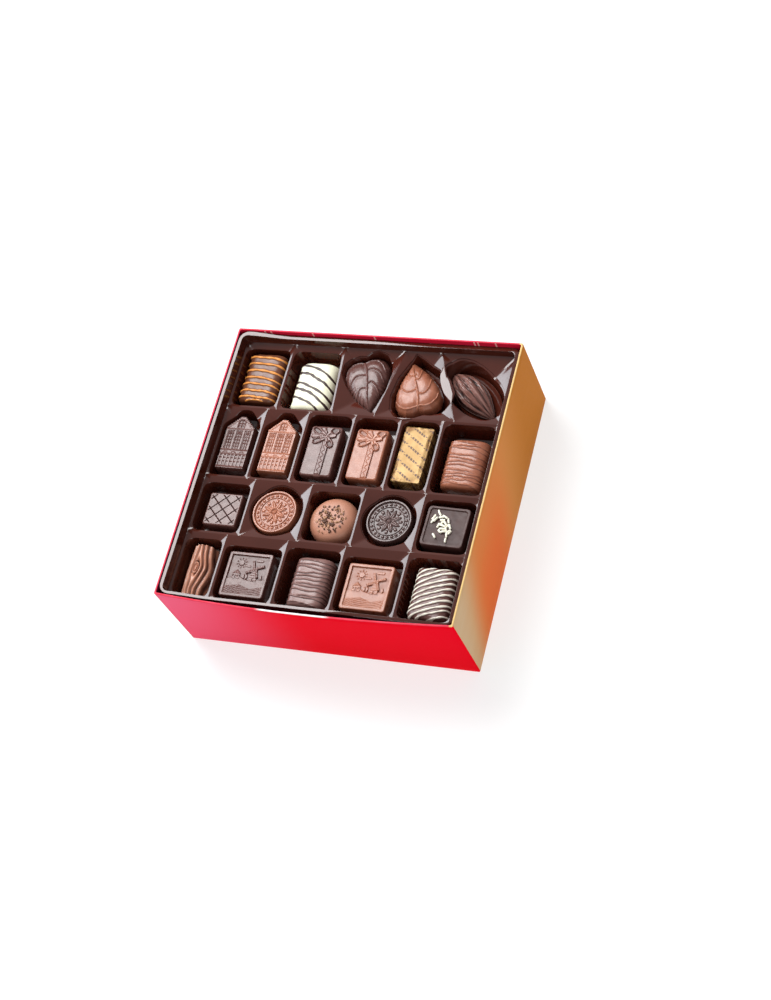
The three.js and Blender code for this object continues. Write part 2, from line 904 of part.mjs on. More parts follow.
// The opening of a praline's pocket in the deck
function pocketOutline(spec, corners) {
  const [sideGap, frontGap] = [1.5, 1.7];
  const [frontLeft, frontRight, backRight, backLeft] = corners;
  const { pocket, turn = 0 } = spec;
  const { middle } = middleOf(corners);
  if (pocket.ring) return circleOutline(middle, pocket.ring, 20);
  if (pocket.leaf) {
    const { width, length, at } = pocket.leaf;
    return turned(leafOutline(width, length), turn, point(...at));
  }
  if (pocket.almond) {
    const { width, length, at } = pocket.almond;
    return turned(circleOutline(point(0, 0), width / 2, 20, length / width), turn, point(...at));
  }
  const [left, right] = [frontLeft.x + sideGap, frontRight.x - sideGap];
  const front = frontLeft.y + frontGap;
  if (pocket.house) {
    const [eave, peak, peakHalf] = [front + 38, backLeft.y - 1.8, 4];
    return roundedOutline(
      [
        point(left, front),
        point(right, front),
        point(right, eave),
        point(middle.x + peakHalf, peak),
        point(middle.x - peakHalf, peak),
        point(left, eave),
      ],
      3,
    );
  }
  const back = backLeft.y - pocket.back;
  const corner = [
    point(left, front),
    point(right, front),
    point(backRight.x - sideGap, back),
    point(backLeft.x + sideGap, back),
  ];
  return roundedOutline(corner, 6);
}

// The sloping mouth of a cell: a shallow funnel that starts at the crest round the cell.
function cellFunnel(corners) {
  const fall = Math.tan(radians(tray.slope));
  const above = 0.4;
  const run = 10;
  return loft([
    levelRing(pulledIn(corners, tray.ridge + run), tray.deckHeight - run * fall),
    levelRing(pulledIn(corners, tray.ridge - above / fall), tray.deckHeight + above),
  ]);
}

const floorOf = ({ size }) => pralineTop - size.height - clearance;

// The whole tray: a lip and a skirt inside the carton, a sunk deck, and a pocket in it for each praline.
function traySolid() {
  const { lipHeight, deckHeight, skin, cornerRadius, draft, slabDepth } = tray;
  const outer = roundedOutline(centredRectangle(2 * outerHalf.x, 2 * outerHalf.y), cornerRadius, 4);
  const recess = roundedOutline(
    rectangle(deck.left, deck.right, deck.front, deck.back),
    cornerRadius - 3,
    3,
  );
  const skirtFoot = carton.card + clearance;
  const solid = [
    block(outer, skirtFoot, lipHeight).subtract(block(pulledIn(outer, skin), 0, lipHeight - skin)),
    block(pulledIn(recess, -skin - 0.8), deckHeight - slabDepth, lipHeight),
  ];
  const hollow = [
    loft([
      levelRing(recess, deckHeight),
      levelRing(pulledIn(recess, -0.5), lipHeight - 0.4),
      levelRing(pulledIn(recess, -0.9), lipHeight),
      levelRing(pulledIn(recess, -0.9), lipHeight + 1),
    ]),
  ];
  pralines.forEach((row, r) =>
    row.forEach((spec, c) => {
      const corners = cellCorners(r, c);
      const outline = pulledIn(pocketOutline(spec, corners), draft);
      const { middle, size } = middleOf(outline);
      const around = centredRectangle(size.x + 4 * skin, size.y + 4 * skin).map((p) => p.add(middle));
      solid.push(block(roundedOutline(around, 5, 1), floorOf(spec) - skin, deckHeight - 1));
      hollow.push(cellFunnel(corners));
      hollow.push(block(outline, floorOf(spec), deckHeight + 1, -draft));
    }),
  );
  return joined(solid).subtract(joined(hollow));
}

// The carton's plan at a level, where its front wall bows out more towards the rim and the middle.
function cartonRing(inset, z) {
  const { width, length, height, rimBulge } = carton;
  const [halfWidth, halfLength, segments] = [width / 2 - inset, length / 2 - inset, 10];
  const front = Array.from({ length: segments + 1 }, (_, i) => {
    const share = (2 * i) / segments - 1;
    const bow = rimBulge * (z / height) ** 1.5 * (1 - share ** 2);
    return point(halfWidth * share, -halfLength - bow);
  });
  return levelRing([...front, point(halfWidth, halfLength), point(-halfWidth, halfLength)], z);
}

function cartonSolid() {
  const { height, card } = carton;
  const outside = [0, height / 3, (2 * height) / 3, height];
  const inside = [card, height / 3, (2 * height) / 3, height, height + 1];
  return loft(outside.map((z) => cartonRing(0, z))).subtract(
    loft(inside.map((z) => cartonRing(card, z))),
  );
}

const box = new THREE.Group();
box.add(asMesh("carton", cartonSolid(), finishes.card));
box.add(asMesh("tray", traySolid(), finishes.tray));
pralines.flat().forEach((spec) => {
  const { name, finish, size, at, turn = 0 } = spec;
  const piece = asMesh(name, spec.solid ?? spec.make(size), finishes[finish]);
  piece.position.set(at[0], at[1], floorOf(spec) + clearance);
  piece.rotation.z = radians(turn);
  box.add(piece);
});

export default box;
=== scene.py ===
# An open gift carton of chocolate pralines: the printed card, the formed plastic tray and every praline in it
import json
import bmesh
import bpy
import numpy as np
from mathutils import Matrix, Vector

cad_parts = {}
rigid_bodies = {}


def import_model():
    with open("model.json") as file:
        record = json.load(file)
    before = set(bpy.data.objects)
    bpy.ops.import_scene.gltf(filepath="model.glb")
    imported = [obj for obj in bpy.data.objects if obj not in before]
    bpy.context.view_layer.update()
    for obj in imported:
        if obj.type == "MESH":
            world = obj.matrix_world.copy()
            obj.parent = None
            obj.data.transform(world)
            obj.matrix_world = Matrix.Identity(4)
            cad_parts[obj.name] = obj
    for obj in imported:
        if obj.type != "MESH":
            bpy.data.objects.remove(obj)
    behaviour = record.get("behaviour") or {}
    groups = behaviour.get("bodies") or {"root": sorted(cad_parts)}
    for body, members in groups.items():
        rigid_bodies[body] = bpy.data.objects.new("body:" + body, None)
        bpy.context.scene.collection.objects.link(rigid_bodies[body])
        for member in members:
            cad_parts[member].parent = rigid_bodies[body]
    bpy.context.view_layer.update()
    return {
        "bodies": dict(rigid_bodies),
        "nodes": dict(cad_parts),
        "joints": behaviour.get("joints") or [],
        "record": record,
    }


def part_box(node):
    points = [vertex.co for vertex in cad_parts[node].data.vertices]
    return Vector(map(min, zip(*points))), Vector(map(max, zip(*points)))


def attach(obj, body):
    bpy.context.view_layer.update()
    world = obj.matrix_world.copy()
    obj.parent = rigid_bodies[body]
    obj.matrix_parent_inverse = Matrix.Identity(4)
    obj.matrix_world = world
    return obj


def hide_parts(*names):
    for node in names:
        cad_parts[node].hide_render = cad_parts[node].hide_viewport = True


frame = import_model()
mm = 0.001
weldGap = 2e-6

# Camera

cameraView = {
    "place": (0.4702, -0.5158, 1.0583),
    "right": (0.927768, 0.240234, -0.285541),
    "down": (0.081072, -0.876691, -0.474173),
    "ahead": (-0.364244, 0.416773, -0.832843),
    "lens": 69.10, "sensor": 36, "clip": (0.05, 30),
}


def makeCamera():
    data = bpy.data.cameras.new("photo_camera")
    data.sensor_width, data.lens = cameraView["sensor"], cameraView["lens"]
    data.clip_start, data.clip_end = cameraView["clip"]
    camera = bpy.data.objects.new("photo_camera", data)
    bpy.context.collection.objects.link(camera)
    right, down, ahead = (np.array(cameraView[key]) for key in ("right", "down", "ahead"))
    columns = np.stack([right, -down, -ahead, cameraView["place"]], axis=1)
    camera.matrix_world = Matrix(np.vstack([columns, [0, 0, 0, 1]]).tolist())
    bpy.context.scene.camera = camera


makeCamera()
print("camera placed")

# Shapes as arrays


def smoothStep(low, high, x):
    # 0 below low, 1 above high and a soft S between them
    t = np.clip((x - low) / (high - low), 0, 1)
    return t * t * (3 - 2 * t)


def softBand(x, low, high, soft=0.15):
    # 1 from low to high, with soft flanks
    return smoothStep(low - soft, low + soft, x) * (1 - smoothStep(high - soft, high + soft, x))


def softBox(x, y, left, right, front, back, soft=0.15):
    return softBand(x, left, right, soft) * softBand(y, front, back, soft)


def rib(distance, half):
    # A rounded rib: 1 on its line and 0 at half a width away
    return 1 - smoothStep(0, half, np.abs(distance))


def smoothNoise(x, y, cell, seed):
    # Random values at the corners of square cells, blended across each cell, from -1 to 1
    size = 64
    table = np.random.default_rng(seed).uniform(-1, 1, (size, size))
    u, v = np.asarray(x) / cell, np.asarray(y) / cell
    i, j = np.floor(u).astype(int), np.floor(v).astype(int)
    s, t = smoothStep(0, 1, u - i), smoothStep(0, 1, v - j)
    corner = [[table[(i + a) % size, (j + b) % size] for b in (0, 1)] for a in (0, 1)]
    near = corner[0][0] * (1 - s) + corner[1][0] * s
    far = corner[0][1] * (1 - s) + corner[1][1] * s
    return near * (1 - t) + far * t


def smoothPath(points, count=24):
    # A line through all the points, each stretch bent by its neighbours as a Catmull-Rom curve
    points = np.asarray(points, float)
    padded = np.vstack([2 * points[0] - points[1], points, 2 * points[-1] - points[-2]])
    at = np.linspace(0, len(points) - 1, count)
    i = np.minimum(at.astype(int), len(points) - 2)
    t = (at - i)[:, None]
    a, b, c, d = (padded[i + k] for k in range(4))
    return 0.5 * (2 * b + (c - a) * t + (2 * a - 5 * b + 4 * c - d) * t**2 + (3 * b - a - 3 * c + d) * t**3)


def distanceTo(x, y, path):
    # How far each point is from the nearest place on a bent line, and how far along the line that place is
    path = np.asarray(path, float)
    start, step = path[:-1], np.diff(path, axis=0)
    px, py = x[..., None] - start[:, 0], y[..., None] - start[:, 1]
    t = np.clip((px * step[:, 0] + py * step[:, 1]) / (step**2).sum(1), 0, 1)
    gap = np.hypot(px - t * step[:, 0], py - t * step[:, 1])
    nearest = gap.argmin(-1)
    along = (nearest + np.take_along_axis(t, nearest[..., None], -1)[..., 0]) / len(step)
    return gap.min(-1), along


def turnedXY(points, degrees):
    angle = np.radians(degrees)
    spin = np.array([[np.cos(angle), np.sin(angle)], [-np.sin(angle), np.cos(angle)]])
    turned = np.array(points, float)
    turned[..., :2] = turned[..., :2] @ spin
    return turned


def evenly(outline, count):
    # The same closed outline, cut into equal steps
    ring = np.vstack([outline, outline[:1]])
    along = np.concatenate([[0], np.cumsum(np.hypot(*np.diff(ring, axis=0).T))])
    at = np.linspace(0, along[-1], count, endpoint=False)
    return np.stack([np.interp(at, along, ring[:, k]) for k in (0, 1)], axis=1)


def roundedCorners(corners, radius, count=960):
    # Each corner becomes a quadratic curve that starts and ends at the radius from it
    corners = np.asarray(corners, float)
    ways = [np.roll(corners, shift, axis=0) - corners for shift in (1, -1)]
    start, end = (corners + way * (radius / np.hypot(*way.T))[:, None] for way in ways)
    t = np.linspace(0, 1, 9)[None, :, None]
    curve = (1 - t) ** 2 * start[:, None] + 2 * t * (1 - t) * corners[:, None] + t**2 * end[:, None]
    return evenly(curve.reshape(-1, 2), count)


def rectangle(left, right, front, back):
    return np.array([[left, front], [right, front], [right, back], [left, back]], float)


def reachOf(outline, bearing):
    # How far the outline is from the middle at each bearing
    angle = np.arctan2(outline[:, 1], outline[:, 0])
    order = np.argsort(angle)
    return np.interp(bearing, angle[order], np.hypot(*outline.T)[order], period=2 * np.pi)


def gridFaces(rows, columns, closed):
    # A face between each two rows and columns; a closed grid's last column meets its first
    r, c = np.meshgrid(np.arange(rows - 1), np.arange(columns - (not closed)), indexing="ij")
    following = (c + 1) % columns
    corners = [r * columns + c, r * columns + following, (r + 1) * columns + following, (r + 1) * columns + c]
    return np.stack(corners, axis=-1).reshape(-1, 4)


def sheetOf(x, y, z, closed=False, **layers):
    return {"points": np.stack(np.broadcast_arrays(x, y, z), axis=-1), "closed": closed, **layers}


def settled(sheets, node, turn=0):
    # The sheets turned and moved so that the first one is centred on its node and stands on the node's foot
    low, high = (np.array(corner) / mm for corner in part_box(node))
    turned = [turnedXY(sheet["points"], turn) for sheet in sheets]
    flat = turned[0].reshape(-1, 3)
    middle = (flat.min(0) + flat.max(0)) / 2
    shift = np.array([*((low + high) / 2 - middle)[:2], low[2]])
    return [{**sheet, "points": points + shift} for sheet, points in zip(sheets, turned)]


def makePiece(name, sheets, finishes, node=None, sharp=35, closed=True):
    # One mesh from several sheets of points, its doubles merged and its faces turned outwards
    points, faces, kinds = [], [], []
    layers = {"tone": [], "paint": []}
    count = 0
    for sheet in sheets:
        grid = sheet["points"]
        rows, columns = grid.shape[:2]
        made = gridFaces(rows, columns, sheet["closed"]) + count
        points.append(grid.reshape(-1, 3) * mm)
        faces.append(made)
        kinds.append(np.broadcast_to(np.asarray(sheet.get("kind", 0)).ravel(), len(made)))
        for key, values in layers.items():
            values.append(np.broadcast_to(sheet.get(key, 0.0), (rows, columns)).ravel())
        count += rows * columns
    points, faces, kinds = np.vstack(points), np.vstack(faces), np.concatenate(kinds)
    mesh = bpy.data.meshes.new(name)
    mesh.vertices.add(len(points))
    mesh.vertices.foreach_set("co", points.astype(np.float32).ravel())
    mesh.loops.add(faces.size)
    mesh.loops.foreach_set("vertex_index", faces.astype(np.int32).ravel())
    mesh.polygons.add(len(faces))
    mesh.polygons.foreach_set("loop_start", np.arange(0, faces.size, 4, dtype=np.int32))
    mesh.polygons.foreach_set("material_index", kinds.astype(np.int32))
    mesh.update(calc_edges=True)
    for key, values in layers.items():
        layer = mesh.attributes.new(key, "FLOAT", "POINT")
        layer.data.foreach_set("value", np.concatenate(values).astype(np.float32))
    shell = bmesh.new()
    shell.from_mesh(mesh)
    bmesh.ops.remove_doubles(shell, verts=shell.verts, dist=weldGap)
    bmesh.ops.recalc_face_normals(shell, faces=shell.faces)
    if not closed and sum(face.normal.z * face.calc_area() for face in shell.faces) < 0:
        bmesh.ops.reverse_faces(shell, faces=shell.faces)
    shell.to_mesh(mesh)
    shell.free()
    mesh.shade_smooth()
    mesh.set_sharp_from_angle(angle=np.radians(sharp))
    for finish in finishes:
        mesh.materials.append(finish)
    piece = bpy.data.objects.new(name, mesh)
    bpy.context.collection.objects.link(piece)
    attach(piece, "root")
    if node:
        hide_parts(node)
    return piece


# Materials


def tint(red, green, blue):
    # A colour as the screen shows it, from 0 to 255, as the light that the shader needs
    part = np.array([red, green, blue]) / 255
    linear = np.where(part < 0.04045, part / 12.92, ((part + 0.055) / 1.055) ** 2.4)
    return (*linear.tolist(), 1.0)


class Wire:
    # A socket that takes part in sums, so that shader maths reads as arithmetic
    def __init__(self, finish, socket):
        self.finish, self.socket = finish, socket

    def math(self, operation, second):
        return self.finish.node("Math", {"operation": operation}, {0: self, 1: second})

    def __add__(self, other):
        return self.math("ADD", other)

    def __sub__(self, other):
        return self.math("SUBTRACT", other)

    def __rsub__(self, other):
        return self.finish.node("Math", {"operation": "SUBTRACT"}, {0: other, 1: self})

    def __mul__(self, other):
        return self.math("MULTIPLY", other)

    def __pow__(self, other):
        return self.math("POWER", other)

    def above(self, low, high):
        # 0 below low and 1 above high, softly
        settings = {"interpolation_type": "SMOOTHSTEP"}
        return self.finish.node("MapRange", settings, {"Value": self, "From Min": low, "From Max": high})


class Finish:
    # One material: its shader's constant values, and the nodes that are added to it
    def __init__(self, name, **values):
        self.material = bpy.data.materials.new(name)
        self.material.use_nodes = True
        self.tree = self.material.node_tree
        self.shader = self.tree.nodes["Principled BSDF"]
        for key, value in values.items():
            self.shader.inputs[key.replace("_", " ")].default_value = value

    def node(self, kind, settings=None, inputs=None, output=0):
        made = self.tree.nodes.new("ShaderNode" + kind)
        for key, value in (settings or {}).items():
            setattr(made, key, value)
        for key, value in (inputs or {}).items():
            self.plug(made.inputs[key], value)
        return Wire(self, made.outputs[output])

    def plug(self, socket, value):
        if isinstance(value, Wire):
            self.tree.links.new(value.socket, socket)
        else:
            socket.default_value = value

    def set(self, **inputs):
        for key, value in inputs.items():
            self.plug(self.shader.inputs[key.replace("_", " ")], value)

    def place(self):
        return self.node("TexCoord", output="Object")

    def axis(self, number, where=None):
        # One of a place's three coordinates, in metres
        return self.node("SeparateXYZ", inputs={"Vector": where or self.place()}, output=number)

    def layer(self, name):
        return self.node("Attribute", {"attribute_name": name}, output="Fac")

    def noise(self, scale, detail=3.0, roughness=0.55, where=None):
        inputs = {"Vector": where or self.place(), "Scale": scale, "Detail": detail, "Roughness": roughness}
        return self.node("TexNoise", inputs=inputs, output="Fac")

    def stretched(self, x, y, z):
        return self.node("Mapping", {"vector_type": "POINT"}, {"Vector": self.place(), "Scale": (x, y, z)})

    def blend(self, factor, first, second):
        inputs = {"Factor": factor, 6: first, 7: second}
        return self.node("Mix", {"data_type": "RGBA"}, inputs, output=2)

    def bump(self, height, distance, strength=1.0):
        return self.node("Bump", inputs={"Height": height, "Distance": distance, "Strength": strength})


print("helpers ready")

# Floor, world and lights

studio = {
    "floorSide": 3.0, "floorLevel": -0.0004, "floorGlow": 0.68, "aim": (0, 0, 0.04),
    "brightWay": (-0.78, 0.62, 0.0), "wayRange": (-0.5, 1.0), "skyRange": (0.3, 0.75),
    "skyColour": (0.93, 0.97, 1.0, 1),
}

softboxes = {
    "key": {"toward": (-0.37, 0.41, 0.835), "distance": 1.1, "size": 0.62, "power": 13.5},
    "side": {
        "toward": (-0.84, 0.37, 0.385), "distance": 1.2, "size": 0.6, "power": 8, "colour": (0.86, 0.94, 1.0),
    },
    "front": {"toward": (0.4, -0.82, 0.45), "distance": 1.3, "size": 0.9, "power": 5},
}


def makeFloor():
    half = studio["floorSide"] / 2
    corners = np.column_stack([rectangle(-half, half, -half, half), np.full(4, studio["floorLevel"])])
    mesh = bpy.data.meshes.new("floor")
    mesh.from_pydata(corners.tolist(), [], [[0, 1, 2, 3]])
    look = Finish("pale_floor", Roughness=0.95, Specular_IOR_Level=0.1, Base_Color=tint(165, 165, 165),
                  Emission_Color=tint(255, 255, 255), Emission_Strength=studio["floorGlow"])
    mesh.materials.append(look.material)
    floor = bpy.data.objects.new("floor", mesh)
    bpy.context.collection.objects.link(floor)


def makeLight(name, softbox):
    # A square softbox that faces the middle of the box from its own direction
    toward = np.array(softbox["toward"])
    toward = toward / np.linalg.norm(toward)
    light = bpy.data.lights.new(name, "AREA")
    light.size, light.energy = softbox["size"], softbox["power"]
    light.color = softbox.get("colour", (1, 1, 1))
    lamp = bpy.data.objects.new(name, light)
    bpy.context.collection.objects.link(lamp)
    side = np.cross((0, 0, 1), toward)
    side = side / np.linalg.norm(side)
    place = toward * softbox["distance"] + studio["aim"]
    columns = np.stack([side, np.cross(toward, side), toward, place], axis=1)
    lamp.matrix_world = Matrix(np.vstack([columns, [0, 0, 0, 1]]).tolist())


def makeWorld():
    # Bright to the left and the back, dimmer to the right and the front
    world = bpy.data.worlds.new("studio")
    bpy.context.scene.world = world
    world.use_nodes = True
    nodes, links = world.node_tree.nodes, world.node_tree.links
    place = nodes.new("ShaderNodeTexCoord")
    toward = nodes.new("ShaderNodeVectorMath")
    toward.operation = "DOT_PRODUCT"
    toward.inputs[1].default_value = studio["brightWay"]
    links.new(place.outputs["Generated"], toward.inputs[0])
    ramp = nodes.new("ShaderNodeMapRange")
    for end, reach in (("From", "wayRange"), ("To", "skyRange")):
        ramp.inputs[end + " Min"].default_value, ramp.inputs[end + " Max"].default_value = studio[reach]
    links.new(toward.outputs["Value"], ramp.inputs["Value"])
    links.new(ramp.outputs[0], nodes["Background"].inputs["Strength"])
    nodes["Background"].inputs["Color"].default_value = studio["skyColour"]


makeFloor()
for lightName, lightForm in softboxes.items():
    makeLight(lightName, lightForm)
makeWorld()
bpy.context.scene.view_settings.view_transform = "Standard"
print("stage lit")

# Carton

carton = {
    "half": (100, 99.5), "height": 67, "card": 1.2, "rimBulge": 3.5, "corner": 0.9, "edge": 0.35,
    "frontSteps": 72, "sideSteps": 48, "cornerSteps": 5, "goldRough": 0.38,
    "backMarks": (-81, -76.5, -46, -2, 67, 69.5, 81.5),
}


def cartonPlan():
    # Once round the plan, counter-clockwise from the front left: each point's place and its side's number
    half, radius = np.array(carton["half"]), carton["corner"]
    turn = np.linspace(0, np.pi / 2, carton["cornerSteps"])[:, None]
    parts, kinds = [], []
    for side, way in enumerate(np.array([(1, 0), (0, 1), (-1, 0), (0, -1)])):
        out = np.array([way[1], -way[0]])
        steps = np.linspace(-1, 1, carton["sideSteps" if side % 2 else "frontSteps"])[:, None]
        corner = (way + out) * (half - radius) + radius * (way * np.sin(turn) + out * np.cos(turn))
        parts += [way * steps * (half - radius) + out * half, corner]
        kinds += [side] * (len(steps) + len(turn))
    return *np.vstack(parts).T, np.array(kinds)


def cartonSheet():
    # The plan carried from the middle of the foot up the outside, over the rim and down to the inner floor
    x, y, kind = cartonPlan()
    halfX, halfY = carton["half"]
    top, card, edge = carton["height"], carton["card"], carton["edge"]
    outside = np.linspace(edge, top - edge, 14)
    rows = [(0.0, 0, 0), (1.0, 1.5, 0), (1.0, edge, 0), (1.0, edge * 0.3, edge * 0.3)]
    rows += [(1.0, 0, z) for z in outside]
    rows += [(1.0, edge * 0.3, top - edge * 0.3), (1.0, edge, top), (1.0, card - edge, top)]
    rows += [(1.0, card - edge * 0.3, top - edge * 0.3)]
    rows += [(1.0, card, z) for z in outside[::-1]]
    rows += [(1.0, card, card), (1.0, card + 1, card), (0.0, card, card)]
    share, inset, level = (np.array(column)[:, None] for column in zip(*rows))
    bow = carton["rimBulge"] * (level / top) ** 1.5 * (1 - (x / halfX) ** 2) * (y < -halfY + 1)
    wide = x * (1 - inset / halfX) * share
    long = (y * (1 - inset / halfY) - bow) * share
    steps = len(rows) - 1
    inner, rim = 4, 5
    faceKind = np.tile(kind, (steps, 1))
    rimRow = 3 + len(outside)
    faceKind[rimRow : rimRow + 4] = rim
    faceKind[rimRow + 4 :] = inner
    return sheetOf(wide, long, level + 0 * x, closed=True, kind=faceKind)


def cardFinish(name, shade, rough=0.45):
    # Laminated print: its own shade, a faint grain of fibres under the film and a soft waviness of the board
    look = Finish(name, Specular_IOR_Level=0.006)
    look.set(Roughness=look.noise(400).above(0.2, 0.8) * 0.08 + rough)
    look.set(Base_Color=shade(look))
    waves = look.noise(9, detail=1.0) * 0.8 + look.noise(900, detail=2.0) * 0.01
    look.set(Normal=look.bump(waves, 0.0012, 0.35))
    return look.material


def redShade(look):
    # Deeper towards the lower right, with a painted pink sheen of reflected light at the upper left
    across, height = look.axis(0), look.axis(2)
    # Painted sheen: pink where the card would reflect the light, growing to the left and upwards
    left = (0 - across).above(0.0, 0.105) * (height * 5 + 0.6)
    deep = look.blend(height.above(0.0, 0.06), tint(232, 0, 22), tint(236, 0, 30))
    mottled = look.blend(look.noise(14) * 0.2, deep, tint(230, 4, 34))
    return look.blend(left * 0.85, mottled, tint(244, 112, 146))


def brushStreaks(look):
    # Long fine streaks along a side, as in brushed metal ink
    return look.noise(60, where=look.stretched(1.0, 0.08, 3.0))


def goldShade(look):
    # Pale gold at the front, a painted reflection of a red box before the middle and bronze at the back,
    # under brushed streaks
    back, low = look.axis(1), look.axis(2)
    run = back + (0.035 - low) * 0.4
    tan = look.blend(run.above(-0.1, -0.05), tint(216, 188, 150), tint(222, 146, 80))
    lower = (0.07 - low).above(0.0, 0.05) * 0.65 + 0.35
    # Painted reflection: an orange patch from a red box beside this side, stronger towards the foot
    redBoxReflection = run.above(-0.085, -0.045) * (0 - run).above(-0.03, 0.02) * lower
    tanAndReflection = look.blend(redBoxReflection * 0.85, tan, tint(242, 104, 50))
    shade = look.blend(run.above(0.0, 0.07), tanAndReflection, tint(198, 121, 44))
    return look.blend(brushStreaks(look) * 0.25, shade, tint(214, 138, 66))


def plainGoldShade(look):
    # The gold ink on the hidden left side, painted darker as shade since it catches more light, without the
    # reflection
    return look.blend(brushStreaks(look), tint(144, 100, 54), tint(172, 126, 76))


def innerShade(look):
    # The print turned in over the rim: red with short pale creases along the back, and a painted shade of
    # dark plum elsewhere
    across, back = look.axis(0), look.axis(1)
    # Painted shade: the red print made a dark plum on the inner faces that turn from the light
    shadedPlum = look.blend(look.noise(30), tint(110, 10, 50), tint(92, 6, 38))
    red = look.blend(look.noise(22), tint(222, 36, 66), tint(204, 20, 50))
    for place in carton["backMarks"]:
        mark = (0 - (across - place * mm) ** 2).above(-4e-7, -2e-7)
        red = look.blend(mark * 0.75, red, tint(244, 190, 180))
    return look.blend(back.above(0.0965, 0.098), shadedPlum, red)


def edgeShade(look):
    # The cut edge: worn white in a patch of the front, gilt on the right and printed red elsewhere
    across, back = look.axis(0), look.axis(1)
    paleTone = (0 - back).above(0.09, 0.095) * across.above(-0.03, -0.024) * (0 - across).above(-0.022, -0.016)
    printed = look.blend(look.noise(60).above(0.3, 0.7), tint(214, 24, 54), tint(226, 60, 84))
    gilt = look.blend(across.above(0.097, 0.0985), printed, tint(224, 186, 120))
    return look.blend(paleTone, gilt, tint(236, 232, 230))


def makeCarton():
    red = cardFinish("carton_red", redShade)
    gold = cardFinish("carton_gold", goldShade, rough=carton["goldRough"])
    plainGold = cardFinish("carton_plain_gold", plainGoldShade, rough=carton["goldRough"])
    inner = cardFinish("carton_inner", innerShade)
    edge = Finish("carton_cut_edge", Roughness=0.8)
    edge.set(Base_Color=edgeShade(edge))
    finishes = [red, gold, red, plainGold, inner, edge.material]
    makePiece("printed_carton", [cartonSheet()], finishes, "carton", sharp=40)


makeCarton()
print("carton made")

# Tray

tray = {
    "lip": 63.6, "deck": 58, "foot": 1.5, "thickness": 0.4, "outer": (98.5, 98.0), "left": -95.7,
    "right": 94.8, "slope": 22, "brow": 18, "browWidth": 1.6, "shelf": 10, "spacing": 1.4, "draft": 0.6,
    "seat": 0.86, "rise": 1.3, "gap": 0.3, "pralineTop": 57, "sideGap": 1.5, "frontGap": 1.7,
    "leftRaise": 2.5, "rightLean": 0.75, "endLean": 0.5,
    "lines": [94.4, 44.1, -8.5, -49.5, -95.6],
    "walls": [
        [(-60.3, -60.3), (-23.8, -20.3), (19.3, 9), (44, 64.3)],
        [(-66, -66), (-35.8, -35.8), (-2.9, -2.9), (28.9, 28.9), (57.4, 57.4)],
        [(-59.3, -59.3), (-19, -19), (17.7, 17.7), (58.2, 58.2)],
        [(-67, -67), (-24.3, -24.3), (15.2, 15.2), (57.4, 57.4)],
    ],
}

darkLeafPocket = {
    "height": 13.5, "leaf": (35, 47.4), "at": (-1.3, 69.3), "turn": 19, "draft": 2.4, "seat": 0.74,
    "under": "dark_leaf",
}
milkLeafPocket = {
    "height": 13.5, "leaf": (44, 49.4), "at": (34.3, 69.6), "turn": 198.2, "draft": 3.2, "seat": 0.74,
    "rise": 2.2, "under": "milk_leaf",
}
podPocket = {
    "height": 14, "almond": (33, 56), "at": (71, 69.4), "turn": 48, "draft": 5, "seat": (0.62, 0.98),
    "rise": 3.2, "under": "cocoa_pod",
}
roundPocket = {"height": 12, "ring": 18.2, "draft": 1.9}

# Each row's pockets: the height of the praline, then the pocket's back gap or its own outline
pockets = [
    [{"height": 17, "back": 4.2}, {"height": 17, "back": 4.2}, darkLeafPocket, milkLeafPocket, podPocket],
    [{"height": 13, "house": True}] * 2 + [{"height": 14, "back": 1.5}] * 3 + [{"height": 17, "back": 1.5}],
    [
        {"height": 13, "back": 3.9}, roundPocket, {"height": 15, "back": 3.9}, roundPocket,
        {"height": 13, "back": 3.2},
    ],
    [
        {"height": 14, "back": 3.9}, {"height": 12, "back": 6.2}, {"height": 17, "back": 3.9},
        {"height": 12, "back": 5.8}, {"height": 17, "back": 2.8},
    ],
]

# Half of a heart-shaped leaf from its tip to its notch, as shares of its width and length
leafHalf = np.array([
    (0, -0.5), (0.12, -0.4), (0.32, -0.19), (0.46, 0.05), (0.5, 0.24), (0.43, 0.39), (0.29, 0.475),
    (0.12, 0.485), (0, 0.455),
])


def leafOutline(width, length, count=960):
    right = leafHalf * (width, length)
    return evenly(np.vstack([right, right[-2:0:-1] * (-1, 1)]), count)


def ellipse(width, length, count=960):
    angle = np.linspace(0, 2 * np.pi, count, endpoint=False)
    return np.stack([width / 2 * np.cos(angle), length / 2 * np.sin(angle)], axis=1)


def pocketOutline(pocket, corners):
    # The mouth of a pocket: a circle, leaf, almond or house, or a rounded copy of its cell
    sideGap, frontGap = tray["sideGap"], tray["frontGap"]
    frontLeft, frontRight, backRight, backLeft = corners
    middle = (corners.min(0) + corners.max(0)) / 2
    at, turn = pocket.get("at", middle), pocket.get("turn", 0)
    if "ring" in pocket:
        return ellipse(2 * pocket["ring"], 2 * pocket["ring"]) + at
    if "leaf" in pocket:
        return turnedXY(leafOutline(*pocket["leaf"]), turn) + at
    if "almond" in pocket:
        return turnedXY(ellipse(*pocket["almond"]), turn) + at
    left, right, front = frontLeft[0] + sideGap, frontRight[0] - sideGap, frontLeft[1] + frontGap
    if "house" in pocket:
        eave, peak, peakHalf = front + 38, backLeft[1] - 1.8, 4
        shape = [(left, front), (right, front), (right, eave), (middle[0] + peakHalf, peak)]
        return roundedCorners(shape + [(middle[0] - peakHalf, peak), (left, eave)], 3)
    back = backLeft[1] - pocket["back"]
    shape = [(left, front), (right, front), (backRight[0] - sideGap, back), (backLeft[0] + sideGap, back)]
    return roundedCorners(shape, 6)


def crestPlaces(low, high, between=()):
    # Evenly spaced places along a crest, with the nearest ones moved to where other crests meet it
    places = np.linspace(low, high, int(round((high - low) / tray["spacing"])) + 1)
    for meeting in between:
        places[np.abs(places - meeting).argmin()] = meeting
    return places


